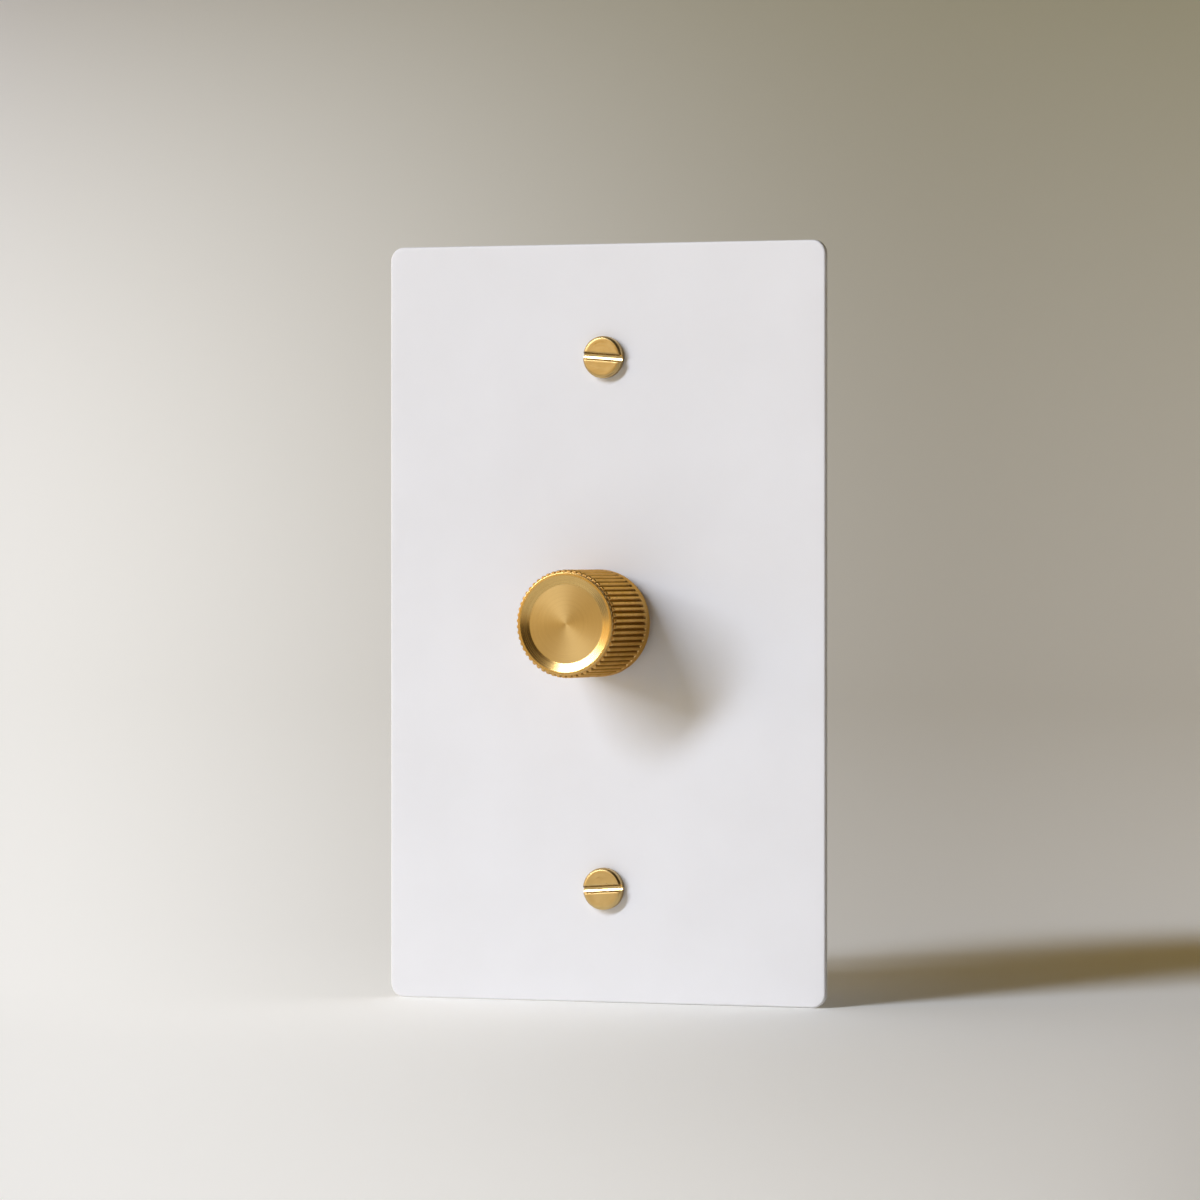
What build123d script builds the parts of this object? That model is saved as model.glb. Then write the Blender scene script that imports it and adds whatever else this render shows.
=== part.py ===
from build123d import *

import os

# A push and turn dimmer on a flat wall plate, piece by piece. Lengths are in millimetres.
# The origin lies on the shaft's axis in the wall plane. +X is right for someone facing the
# plate, +Z is up, and -Y comes out of the wall, so the knob has negative Y.

# Face plate and the gasket behind its edge
PLATE_WIDTH = 74.0
PLATE_HEIGHT = 119.0
PLATE_THICKNESS = 1.0
PLATE_CORNER_RADIUS = 2.2
PLATE_EDGE_RADIUS = 0.3
PLATE_NECK_CLEARANCE = 0.75
GASKET_THICKNESS = 0.8
GASKET_WIDTH = 4.0
GASKET_INSET = 1.5
GASKET_INNER_RADIUS = 1.0

# Plate screws and the washers that keep them captive
SCREW_SPACING = 83.34
SCREW_HEAD_DIAMETER = 6.6
SCREW_HEAD_HEIGHT = 1.4
SCREW_HEAD_CHAMFER = 0.3
SCREW_SLOT_WIDTH = 1.15
SCREW_SLOT_DEPTH = 0.75
UPPER_SLOT_ANGLE = -4.8
LOWER_SLOT_ANGLE = 3.7
SCREW_THREAD_DIAMETER = 3.5
SCREW_THREAD_LENGTH = 19.0
SCREW_NECK_DIAMETER = 2.8
SCREW_TIP_CHAMFER = 0.4
SCREW_HOLE_CLEARANCE = 0.3
RETAINER_DIAMETER = 7.2
RETAINER_THICKNESS = 0.8
RETAINER_PLAY = 0.8

# Knob
KNOB_DIAMETER = 16.8
KNOB_LENGTH = 14.8
KNOB_STOP_CLEARANCE = 0.2
KNOB_LIP_STEP = 0.43
KNOB_LIP_HEIGHT = 0.55
KNOB_LIP_EDGE = 0.15
KNOB_LIP_WIDTH = 0.3
KNOB_DISH_FLOOR = 12.3
KNOB_DISH_DEPTH = 0.5
KNOB_FRONT_CHAMFER = 0.25
KNOB_BACK_ROUND = 0.9
KNOB_COLLAR = 1.3
KNOB_BORE_DEPTH = 11.0
KNOB_BORE_CHAMFER = 0.5
FLUTE_COUNT = 56
FLUTE_DEPTH = 0.38
FLUTE_WIDTH = 0.6
FLUTE_OVERCUT = 0.08
SET_SCREW_DIAMETER = 3.0
SET_SCREW_SETBACK = 5.0
SET_SCREW_SOCKET = 1.5
SET_SCREW_SOCKET_DEPTH = 1.6
SET_SCREW_SUNK = 0.6

# Shaft and the clip that stops it from coming out
SHAFT_DIAMETER = 6.0
SHAFT_FLAT_DEPTH = 1.5
SHAFT_FLAT_LENGTH = 9.5
SHAFT_END_CHAMFER = 0.4
SHAFT_END_GAP = 0.3
SHAFT_TAIL_FLATS = 4.4
SHAFT_TAIL_REACH = 0.8
SHAFT_CLEARANCE = 0.05
PUSH_TRAVEL = 1.0
TURN_RANGE = 300.0
CLIP_DIAMETER = 9.0
CLIP_GROOVE_DIAMETER = 5.0
CLIP_THICKNESS = 0.6
CLIP_PLAY = 0.05
CLIP_OPENING = 3.0

# Neck of the control, with its washer and nut
NECK_DIAMETER = 10.0
NECK_REACH = 0.6
NECK_FLANGE_DIAMETER = 13.0
NECK_FLANGE_THICKNESS = 1.0
NUT_ACROSS_FLATS = 14.0
NUT_THICKNESS = 2.2
WASHER_DIAMETER = 15.0
WASHER_THICKNESS = 0.5
THREAD_CLEARANCE = 0.05

# Mounting strap and its earth screw
STRAP_THICKNESS = 1.6
STRAP_SETBACK = 4.0
STRAP_BEND_RADIUS = 1.6
STRAP_TAB_WIDTH = 24.0
STRAP_TAB_REACH = 6.0
STRAP_TAB_CORNER = 3.0
STRAP_SCREW_MARGIN = 4.6
STRAP_JOGGLE_RUN = 3.5
STRAP_SLOT_LENGTH = 8.0
STRAP_PANEL_CORNER = 2.0
STRAP_PANEL_OVERHANG = 1.0
EAR_REACH = 10.0
EAR_HEIGHT = 11.0
EAR_DROP = 21.0
EARTH_SCREW_DIAMETER = 3.5
EARTH_SCREW_INSET = 5.0
EARTH_SCREW_TIP = 1.5
EARTH_WASHER_DIAMETER = 7.2
EARTH_WASHER_THICKNESS = 0.8
EARTH_HEX_SIZE = 5.5
EARTH_HEX_HEIGHT = 2.0

# Variable resistor: case, wafer, track, pins, hub and wiper
CASE_DIAMETER = 18.0
CASE_WALL = 0.8
CASE_DEPTH = 6.4
CASE_STOP_REACH = 1.3
WAFER_THICKNESS = 1.6
WAFER_TAIL_WIDTH = 8.4
WAFER_TAIL_DROP = 4.0
TRACK_INNER_DIAMETER = 10.4
TRACK_OUTER_DIAMETER = 13.6
TRACK_THICKNESS = 0.2
PIN_PITCH = 2.5
PIN_WIDTH = 0.8
PIN_THICKNESS = 0.4
PIN_INSET = 2.0
HUB_FLANGE_DIAMETER = 13.2
HUB_FLANGE_THICKNESS = 1.8
HUB_JOURNAL_DIAMETER = 8.4
HUB_LUG_REACH = 1.3
HUB_LUG_SPAN = 24.0
HUB_CLIP_GAP = 0.3
HUB_END_GAP = 0.2
HUB_CLEARANCE = 0.06
STOP_CLEARANCE = 0.5
WIPER_THICKNESS = 0.3
WIPER_DIAMETER = 12.8
WIPER_FINGER_WIDTH = 1.0
WIPER_FINGER_START = 2.2
WIPER_FINGER_TOE = 1.3
WIPER_TOE_LIFT = 0.4
WIPER_TRACK_GAP = 0.1

# Push switch behind the variable resistor
SWITCH_SIZE = 14.0
SWITCH_EDGE = 0.6
SWITCH_BACK_WALL = 1.2
PLUNGER_CONTACT_GAP = 0.05
PLUNGER_HEAD_DIAMETER = 6.0
PLUNGER_HEAD_THICKNESS = 1.0
PLUNGER_HEAD_GAP = 0.75
PLUNGER_STEM_DIAMETER = 3.3
PLUNGER_END_GAP = 0.2
PLUNGER_CLEARANCE = 0.08
SPRING_WELL_DIAMETER = 6.8
SPRING_WELL_DEPTH = 3.0
SPRING_DIAMETER = 4.9
SPRING_WIRE = 0.4
SPRING_TURNS = 3.5
SPRING_SEAT_GAP = 0.04

# Moulded housing, its screws and the circuit board in it
HOUSING_WIDTH = 44.0
HOUSING_DEPTH = 24.0
HOUSING_WALL = 1.8
HOUSING_CORNER = 3.0
HOUSING_BACK_EDGE = 1.2
HOUSING_JOGGLE_GAP = 2.6
BOSS_DIAMETER = 6.4
BOSS_INSET = 2.6
HOUSING_SCREW_DIAMETER = 2.9
HOUSING_SCREW_LENGTH = 10.0
HOUSING_SCREW_HEAD_DIAMETER = 5.4
HOUSING_SCREW_HEAD_HEIGHT = 1.7
HOUSING_SCREW_SLOT_WIDTH = 0.8
HOUSING_SCREW_SLOT_DEPTH = 0.8
HOUSING_SCREW_END_GAP = 1.0
BOARD_THICKNESS = 1.6
BOARD_STANDOFF = 1.4
BOARD_CORNER = 2.0
BOARD_SIDE_GAP = 0.6
BOARD_END_GAP = 5.2
POST_DIAMETER = 4.4
POST_INSET = 3.3

# Side terminals
TERMINAL_SPACING = 18.0
POCKET_HEIGHT = 11.0
POCKET_DEPTH = 4.0
POCKET_LENGTH = 15.8
POCKET_WALL = 1.6
TERMINAL_WIDTH = 8.0
TERMINAL_THICKNESS = 1.0
TERMINAL_SETBACK = 1.5
TONGUE_WIDTH = 4.0
TONGUE_REACH = 3.0
TONGUE_CLEARANCE = 0.1
TERMINAL_SCREW_DIAMETER = 3.9
TERMINAL_SCREW_LENGTH = 2.2
TERMINAL_SCREW_SETBACK = 5.8
TERMINAL_HEAD_DIAMETER = 7.8
TERMINAL_HEAD_HEIGHT = 2.2
TERMINAL_SLOT_WIDTH = 1.0
TERMINAL_SLOT_DEPTH = 0.9
TERMINAL_HOLE_CLEARANCE = 0.3

# Power device on the strap
DEVICE_X = -8.0
DEVICE_TOP_Z = -11.5
DEVICE_WIDTH = 10.0
DEVICE_BODY_HEIGHT = 9.0
DEVICE_BODY_THICKNESS = 4.4
DEVICE_TAB_HEIGHT = 6.3
DEVICE_TAB_THICKNESS = 1.3
DEVICE_HOLE_DIAMETER = 3.4
DEVICE_LEAD_PITCH = 2.54
DEVICE_LEAD_WIDTH = 0.8
DEVICE_LEAD_THICKNESS = 0.5
DEVICE_LEAD_RISE = 1.8
DEVICE_LEAD_DEPTH = 2.6
DEVICE_LEAD_BEND = 0.7
PAD_THICKNESS = 0.25
PAD_MARGIN = 0.6
DEVICE_SCREW_DIAMETER = 2.9
DEVICE_SCREW_HEAD_DIAMETER = 5.4
DEVICE_SCREW_HEAD_HEIGHT = 1.8
DEVICE_SCREW_SLOT_WIDTH = 0.8
DEVICE_SCREW_SLOT_DEPTH = 0.8

# Pieces that stand on the circuit board
CHOKE_X = -7.6
CHOKE_Z = 16.0
CHOKE_DIAMETER = 13.0
CHOKE_HEIGHT = 11.6
CHOKE_FLANGE = 1.2
CHOKE_CORE_DIAMETER = 6.0
WINDING_DIAMETER = 11.8
WINDING_GAP = 0.05
FILTER_X = 7.8
FILTER_Z = 16.0
FILTER_WIDTH = 13.0
FILTER_DEPTH = 8.0
FILTER_HEIGHT = 12.5
TIMING_X = 9.0
TIMING_Z = -13.0
TIMING_WIDTH = 7.0
TIMING_DEPTH = 4.0
TIMING_HEIGHT = 8.0
BLOCK_EDGE = 0.5
RESISTOR_X = 8.5
RESISTOR_Z = -19.0
RESISTOR_LENGTH = 6.5
RESISTOR_DIAMETER = 2.4
DIODE_X = -8.0
DIODE_Z = -15.5
DIODE_LENGTH = 4.2
DIODE_DIAMETER = 2.0
LEAD_WIDTH = 0.6
LEAD_OVERHANG = 1.4
LEAD_BEND = 0.6
LIFT_OFF_BOARD = 0.2

# Places along Y, from the knob's front to the housing's back
plate_back_y = -GASKET_THICKNESS
plate_front_y = plate_back_y - PLATE_THICKNESS
knob_back_y = plate_front_y - PUSH_TRAVEL - KNOB_STOP_CLEARANCE
knob_front_y = knob_back_y - KNOB_LENGTH
bore_end_y = knob_back_y - KNOB_BORE_DEPTH
shaft_front_y = bore_end_y + SHAFT_END_GAP
tab_back_y = plate_back_y + STRAP_THICKNESS
retainer_back_y = tab_back_y + RETAINER_THICKNESS
thread_start_y = retainer_back_y + RETAINER_PLAY
strap_front_y = plate_back_y + STRAP_SETBACK
strap_back_y = strap_front_y + STRAP_THICKNESS
washer_front_y = strap_front_y - WASHER_THICKNESS
nut_front_y = washer_front_y - NUT_THICKNESS
neck_front_y = nut_front_y - NECK_REACH
case_front_y = strap_back_y + NECK_FLANGE_THICKNESS
clip_front_y = case_front_y + 2 * CLIP_PLAY
clip_back_y = clip_front_y + CLIP_THICKNESS
hub_front_y = clip_back_y + PUSH_TRAVEL + HUB_CLIP_GAP
hub_flange_back_y = hub_front_y + HUB_FLANGE_THICKNESS
wafer_front_y = case_front_y + CASE_DEPTH
wafer_back_y = wafer_front_y + WAFER_THICKNESS
track_front_y = wafer_front_y - TRACK_THICKNESS
shaft_tail_y = wafer_back_y + SHAFT_TAIL_REACH
plunger_front_y = shaft_tail_y + PLUNGER_CONTACT_GAP
plunger_head_y = plunger_front_y + PLUNGER_HEAD_THICKNESS
switch_front_y = plunger_head_y + PLUNGER_HEAD_GAP
spring_well_y = switch_front_y + SPRING_WELL_DEPTH
housing_back_y = strap_back_y + HOUSING_DEPTH
housing_floor_y = housing_back_y - HOUSING_WALL
board_back_y = housing_floor_y - BOARD_STANDOFF
board_front_y = board_back_y - BOARD_THICKNESS
switch_bore_y = board_front_y - SWITCH_BACK_WALL
plunger_tail_y = switch_bore_y - PUSH_TRAVEL - PLUNGER_END_GAP
pocket_front_y = housing_back_y - POCKET_LENGTH
terminal_front_y = pocket_front_y + TERMINAL_SETBACK
terminal_screw_y = pocket_front_y + TERMINAL_SCREW_SETBACK

# Sizes across the shaft that follow from the ones above
screw_z = SCREW_SPACING / 2
tab_kink_z = screw_z - STRAP_SCREW_MARGIN
panel_kink_z = tab_kink_z - STRAP_JOGGLE_RUN
housing_height = 2 * (panel_kink_z - HOUSING_JOGGLE_GAP)
inner_width = HOUSING_WIDTH - 2 * HOUSING_WALL
inner_height = housing_height - 2 * HOUSING_WALL
knob_radius = KNOB_DIAMETER / 2
shaft_radius = SHAFT_DIAMETER / 2
shaft_bore_radius = shaft_radius + SHAFT_CLEARANCE
screw_hole_radius = SCREW_THREAD_DIAMETER / 2 + SCREW_HOLE_CLEARANCE
case_inner_radius = CASE_DIAMETER / 2 - CASE_WALL
journal_hole_radius = HUB_JOURNAL_DIAMETER / 2 + HUB_CLEARANCE
stop_span = 360 - TURN_RANGE - HUB_LUG_SPAN - 2 * STOP_CLEARANCE
pocket_floor_x = HOUSING_WIDTH / 2 - POCKET_DEPTH
pocket_inner_x = pocket_floor_x - POCKET_WALL
board_width = 2 * (pocket_inner_x - BOARD_SIDE_GAP)
board_height = inner_height - 2 * BOARD_END_GAP
tongue_end_x = board_width / 2 - TONGUE_REACH
terminal_face_x = pocket_floor_x + TERMINAL_THICKNESS
boss_x = inner_width / 2 - BOSS_INSET
boss_z = inner_height / 2 - BOSS_INSET
post_x = board_width / 2 - POST_INSET
post_z = board_height / 2 - POST_INSET
earth_x = EARTH_SCREW_INSET - HOUSING_WIDTH / 2 - EAR_REACH
device_hole_z = DEVICE_TOP_Z - DEVICE_BODY_HEIGHT - DEVICE_TAB_HEIGHT / 2
pin_z = PIN_INSET - CASE_DIAMETER / 2 - WAFER_TAIL_DROP

screw_places = [(0, screw_z), (0, -screw_z)]
slot_angles = [UPPER_SLOT_ANGLE, LOWER_SLOT_ANGLE]
boss_places = [(x, z) for x in (-boss_x, boss_x) for z in (-boss_z, boss_z)]
post_places = [(x, z) for x in (-post_x, post_x) for z in (-post_z, post_z)]
# Each terminal has a side, +1 for right and -1 for left, and a height
terminal_places = [(1, TERMINAL_SPACING / 2), (1, -TERMINAL_SPACING / 2), (-1, 0)]


def layer(y):
    """Plane across the shaft at y, where local x is +X, local y is +Z and the front is up."""
    return Plane.XZ.offset(-y)


def ring_sector(inner, outer, middle, span):
    """Piece of a flat ring between two radii, span degrees wide about the middle angle."""
    with BuildSketch() as sector:
        with BuildLine():
            outside = CenterArc((0, 0), outer, middle - span / 2, span)
            inside = CenterArc((0, 0), inner, middle - span / 2, span)
            Line(outside @ 0, inside @ 0)
            Line(outside @ 1, inside @ 1)
        make_face()
    return sector.sketch


def double_flat(radius, across):
    """Circle with two flats, the given distance apart, one above and one below."""
    with BuildSketch() as section:
        Circle(radius)
        Rectangle(2 * radius, across, mode=Mode.INTERSECT)
    return section.sketch


def flute_section():
    """Pointed groove with its point towards the shaft and its open side to local +X."""
    mouth = FLUTE_WIDTH / 2 * (1 + FLUTE_OVERCUT / FLUTE_DEPTH)
    with BuildSketch() as section:
        with BuildLine():
            Polyline(
                (-FLUTE_DEPTH, 0),
                (FLUTE_OVERCUT, mouth),
                (FLUTE_OVERCUT, -mouth),
                close=True,
            )
        make_face()
    return section.sketch


def axial_component(x, z, length, diameter):
    """Round component that lies along X on the board with a bent lead at each end."""
    middle_y = board_front_y - LIFT_OFF_BOARD - diameter / 2
    reach = length / 2 + LEAD_OVERHANG
    with BuildPart() as component:
        with BuildSketch(Plane.XY.offset(z)):
            with BuildLine():
                FilletPolyline(
                    (x - reach, board_front_y),
                    (x - reach, middle_y),
                    (x + reach, middle_y),
                    (x + reach, board_front_y),
                    radius=LEAD_BEND,
                )
            trace(line_width=LEAD_WIDTH)
        extrude(amount=LEAD_WIDTH / 2, both=True)
        with BuildSketch(Plane.YZ.offset(x)):
            with Locations((middle_y, z)):
                Circle(diameter / 2)
        extrude(amount=length / 2, both=True)
    return component.part


with BuildPart() as face_plate:
    with BuildSketch(layer(plate_back_y)):
        RectangleRounded(PLATE_WIDTH, PLATE_HEIGHT, PLATE_CORNER_RADIUS)
        Circle(NECK_DIAMETER / 2 + PLATE_NECK_CLEARANCE, mode=Mode.SUBTRACT)
        with Locations(*screw_places):
            Circle(screw_hole_radius, mode=Mode.SUBTRACT)
    extrude(amount=PLATE_THICKNESS)
    front_edges = face_plate.faces().sort_by(Axis.Y)[0].outer_wire().edges()
    fillet(front_edges, PLATE_EDGE_RADIUS)

with BuildPart() as wall_gasket:
    gasket_width = PLATE_WIDTH - 2 * GASKET_INSET
    gasket_height = PLATE_HEIGHT - 2 * GASKET_INSET
    with BuildSketch(layer(0)):
        RectangleRounded(gasket_width, gasket_height, GASKET_INNER_RADIUS + GASKET_WIDTH)
        RectangleRounded(
            gasket_width - 2 * GASKET_WIDTH,
            gasket_height - 2 * GASKET_WIDTH,
            GASKET_INNER_RADIUS,
            mode=Mode.SUBTRACT,
        )
    extrude(amount=GASKET_THICKNESS)

with BuildPart() as plate_screws:
    with BuildSketch(layer(plate_front_y)):
        with Locations(*screw_places):
            Circle(SCREW_HEAD_DIAMETER / 2)
    extrude(amount=SCREW_HEAD_HEIGHT)
    chamfer(plate_screws.edges().group_by(Axis.Y)[0], SCREW_HEAD_CHAMFER)
    with BuildSketch(layer(thread_start_y)):
        with Locations(*screw_places):
            Circle(SCREW_NECK_DIAMETER / 2)
    extrude(amount=thread_start_y - plate_front_y)
    with BuildSketch(layer(thread_start_y + SCREW_THREAD_LENGTH)):
        with Locations(*screw_places):
            Circle(SCREW_THREAD_DIAMETER / 2)
    extrude(amount=SCREW_THREAD_LENGTH)
    chamfer(plate_screws.edges().group_by(Axis.Y)[-1], SCREW_TIP_CHAMFER)
    for place, angle in zip(screw_places, slot_angles):
        with BuildSketch(layer(plate_front_y - SCREW_HEAD_HEIGHT)):
            with Locations(place):
                Rectangle(2 * SCREW_HEAD_DIAMETER, SCREW_SLOT_WIDTH, rotation=angle)
        extrude(amount=-SCREW_SLOT_DEPTH, mode=Mode.SUBTRACT)

with BuildPart() as screw_retainers:
    with BuildSketch(layer(retainer_back_y)):
        with Locations(*screw_places):
            Circle(RETAINER_DIAMETER / 2)
            Circle(SCREW_NECK_DIAMETER / 2 + THREAD_CLEARANCE, mode=Mode.SUBTRACT)
    extrude(amount=RETAINER_THICKNESS)

with BuildPart() as mounting_strap:
    # The side view of the folded sheet is one line of even thickness
    tab_middle_y = plate_back_y + STRAP_THICKNESS / 2
    panel_middle_y = strap_front_y + STRAP_THICKNESS / 2
    tab_end_z = screw_z + STRAP_TAB_REACH
    with BuildSketch(Plane.YZ):
        with BuildLine():
            FilletPolyline(
                (tab_middle_y, -tab_end_z),
                (tab_middle_y, -tab_kink_z),
                (panel_middle_y, -panel_kink_z),
                (panel_middle_y, panel_kink_z),
                (tab_middle_y, tab_kink_z),
                (tab_middle_y, tab_end_z),
                radius=STRAP_BEND_RADIUS,
            )
        trace(line_width=STRAP_THICKNESS)
    extrude(amount=PLATE_WIDTH / 2, both=True)
    with BuildSketch(layer(0)):
        RectangleRounded(
            HOUSING_WIDTH, housing_height + 2 * STRAP_PANEL_OVERHANG, STRAP_PANEL_CORNER
        )
        RectangleRounded(STRAP_TAB_WIDTH, 2 * tab_end_z, STRAP_TAB_CORNER)
        # The ear reaches from the panel's middle line so that only its outer end is rounded
        with Locations((-(HOUSING_WIDTH / 2 + EAR_REACH) / 2, -EAR_DROP)):
            RectangleRounded(HOUSING_WIDTH / 2 + EAR_REACH, EAR_HEIGHT, STRAP_PANEL_CORNER)
    extrude(amount=strap_back_y, both=True, mode=Mode.INTERSECT)
    with BuildSketch(layer(strap_back_y)):
        Circle(NECK_DIAMETER / 2 + THREAD_CLEARANCE)
        with Locations(*boss_places):
            Circle(HOUSING_SCREW_DIAMETER / 2 + SCREW_HOLE_CLEARANCE)
        with Locations((DEVICE_X, device_hole_z)):
            Circle(DEVICE_SCREW_DIAMETER / 2 + THREAD_CLEARANCE)
        with Locations((earth_x, -EAR_DROP)):
            Circle(EARTH_SCREW_DIAMETER / 2 + THREAD_CLEARANCE)
        with Locations(*screw_places):
            SlotOverall(STRAP_SLOT_LENGTH, 2 * screw_hole_radius)
    extrude(amount=strap_back_y - plate_back_y, mode=Mode.SUBTRACT)

with BuildPart() as earth_screw:
    with BuildSketch(layer(strap_back_y)):
        with Locations((earth_x, -EAR_DROP)):
            Circle(EARTH_SCREW_DIAMETER / 2)
    extrude(amount=STRAP_THICKNESS + EARTH_SCREW_TIP)
    chamfer(earth_screw.edges().group_by(Axis.Y)[0], SCREW_TIP_CHAMFER)
    with BuildSketch(layer(strap_back_y)):
        with Locations((earth_x, -EAR_DROP)):
            Circle(EARTH_WASHER_DIAMETER / 2)
    extrude(amount=-EARTH_WASHER_THICKNESS)
    with BuildSketch(layer(strap_back_y + EARTH_WASHER_THICKNESS)):
        with Locations((earth_x, -EAR_DROP)):
            RegularPolygon(EARTH_HEX_SIZE / 2, 6, major_radius=False)
    extrude(amount=-EARTH_HEX_HEIGHT)

with BuildPart() as threaded_neck:
    with BuildSketch(layer(case_front_y)):
        Circle(NECK_FLANGE_DIAMETER / 2)
    extrude(amount=NECK_FLANGE_THICKNESS)
    with BuildSketch(layer(case_front_y)):
        Circle(NECK_DIAMETER / 2)
    extrude(amount=case_front_y - neck_front_y)
    chamfer(threaded_neck.edges().group_by(Axis.Y)[0], SCREW_TIP_CHAMFER)
    with BuildSketch(layer(case_front_y)):
        Circle(shaft_bore_radius)
    extrude(amount=case_front_y - neck_front_y, mode=Mode.SUBTRACT)

with BuildPart() as neck_washer:
    with BuildSketch(layer(strap_front_y)):
        Circle(WASHER_DIAMETER / 2)
        Circle(NECK_DIAMETER / 2 + THREAD_CLEARANCE, mode=Mode.SUBTRACT)
    extrude(amount=WASHER_THICKNESS)

with BuildPart() as neck_nut:
    with BuildSketch(layer(washer_front_y)):
        RegularPolygon(NUT_ACROSS_FLATS / 2, 6, major_radius=False)
    extrude(amount=NUT_THICKNESS)
    # The corners are turned off on the front, as on a plain hexagon nut
    with BuildSketch(layer(washer_front_y)):
        Circle(NUT_ACROSS_FLATS / 2 + NUT_THICKNESS)
    extrude(amount=NUT_THICKNESS, taper=45, mode=Mode.INTERSECT)
    with BuildSketch(layer(washer_front_y)):
        Circle(NECK_DIAMETER / 2 + THREAD_CLEARANCE)
    extrude(amount=NUT_THICKNESS, mode=Mode.SUBTRACT)

with BuildPart() as shaft:
    with BuildSketch(layer(clip_back_y)):
        Circle(shaft_radius)
    extrude(amount=clip_back_y - shaft_front_y)
    chamfer(shaft.edges().group_by(Axis.Y)[0], SHAFT_END_CHAMFER)
    with BuildSketch(layer(shaft_tail_y)):
        add(double_flat(shaft_radius, SHAFT_TAIL_FLATS))
    extrude(amount=shaft_tail_y - clip_back_y)
    with BuildSketch(layer(clip_back_y + CLIP_PLAY)):
        Circle(SHAFT_DIAMETER)
        Circle(CLIP_GROOVE_DIAMETER / 2, mode=Mode.SUBTRACT)
    extrude(amount=CLIP_THICKNESS + 2 * CLIP_PLAY, mode=Mode.SUBTRACT)
    # The flat for the set screw faces down
    with BuildSketch(layer(shaft_front_y + SHAFT_FLAT_LENGTH)):
        with Locations((0, SHAFT_FLAT_DEPTH - SHAFT_DIAMETER)):
            Rectangle(SHAFT_DIAMETER, SHAFT_DIAMETER)
    extrude(amount=SHAFT_FLAT_LENGTH, mode=Mode.SUBTRACT)

with BuildPart() as shaft_clip:
    with BuildSketch(layer(clip_back_y)):
        Circle(CLIP_DIAMETER / 2)
        Circle(CLIP_GROOVE_DIAMETER / 2 + CLIP_PLAY, mode=Mode.SUBTRACT)
        with Locations((0, -CLIP_DIAMETER / 2)):
            Rectangle(CLIP_OPENING, CLIP_DIAMETER, mode=Mode.SUBTRACT)
    extrude(amount=CLIP_THICKNESS)

with BuildPart() as knob:
    # Half section from the dished front to the bore, turned about the shaft
    lip_radius = knob_radius - KNOB_LIP_STEP
    lip_back_y = knob_front_y + KNOB_LIP_HEIGHT
    dish_y = knob_front_y + KNOB_DISH_DEPTH
    with BuildSketch(Plane.XY):
        with BuildLine():
            Polyline(
                (0, bore_end_y),
                (0, dish_y),
                (KNOB_DISH_FLOOR / 2, dish_y),
                (lip_radius - KNOB_LIP_EDGE - KNOB_LIP_WIDTH, knob_front_y),
                (lip_radius - KNOB_LIP_EDGE, knob_front_y),
                (lip_radius, knob_front_y + KNOB_LIP_EDGE),
                (lip_radius, lip_back_y),
                (knob_radius - KNOB_FRONT_CHAMFER, lip_back_y),
                (knob_radius, lip_back_y + KNOB_FRONT_CHAMFER),
                (knob_radius, knob_back_y - KNOB_BACK_ROUND),
            )
            RadiusArc(
                (knob_radius, knob_back_y - KNOB_BACK_ROUND),
                (knob_radius - KNOB_BACK_ROUND, knob_back_y),
                -KNOB_BACK_ROUND,
            )
            Polyline(
                (knob_radius - KNOB_BACK_ROUND, knob_back_y),
                (shaft_bore_radius + KNOB_BORE_CHAMFER, knob_back_y),
                (shaft_bore_radius, knob_back_y - KNOB_BORE_CHAMFER),
                (shaft_bore_radius, bore_end_y),
                (0, bore_end_y),
            )
        make_face()
    revolve(axis=Axis.Y)
    # Flutes start at the step behind the lip and stop before the smooth back collar
    flute_end_y = knob_back_y - KNOB_BACK_ROUND - KNOB_COLLAR
    with BuildSketch(layer(flute_end_y)):
        with PolarLocations(knob_radius, FLUTE_COUNT):
            add(flute_section())
    extrude(amount=flute_end_y - knob_front_y, mode=Mode.SUBTRACT)
    with BuildSketch(Plane.XY):
        with Locations((0, knob_back_y - SET_SCREW_SETBACK)):
            Circle(SET_SCREW_DIAMETER / 2 + THREAD_CLEARANCE)
    extrude(amount=-KNOB_DIAMETER, mode=Mode.SUBTRACT)

with BuildPart() as knob_set_screw:
    set_screw_start_z = SHAFT_FLAT_DEPTH - shaft_radius - THREAD_CLEARANCE
    set_screw_end_z = SET_SCREW_SUNK - knob_radius
    with BuildSketch(Plane.XY.offset(set_screw_start_z)):
        with Locations((0, knob_back_y - SET_SCREW_SETBACK)):
            Circle(SET_SCREW_DIAMETER / 2)
    extrude(amount=set_screw_end_z - set_screw_start_z)
    with BuildSketch(Plane.XY.offset(set_screw_end_z)):
        with Locations((0, knob_back_y - SET_SCREW_SETBACK)):
            RegularPolygon(SET_SCREW_SOCKET / 2, 6, major_radius=False)
    extrude(amount=SET_SCREW_SOCKET_DEPTH, mode=Mode.SUBTRACT)

with BuildPart() as control_case:
    with BuildSketch(layer(wafer_front_y)):
        Circle(CASE_DIAMETER / 2)
    extrude(amount=CASE_DEPTH)
    with BuildSketch(layer(wafer_front_y)):
        Circle(case_inner_radius)
        # The lower part of the bore is left standing as the end stop
        stop_radius = case_inner_radius - CASE_STOP_REACH
        add(ring_sector(stop_radius, CASE_DIAMETER / 2, -90, stop_span), mode=Mode.SUBTRACT)
    extrude(amount=CASE_DEPTH - CASE_WALL, mode=Mode.SUBTRACT)
    with BuildSketch(layer(wafer_front_y)):
        Circle(CLIP_DIAMETER / 2 + CASE_WALL)
    extrude(amount=CASE_DEPTH, mode=Mode.SUBTRACT)

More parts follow.
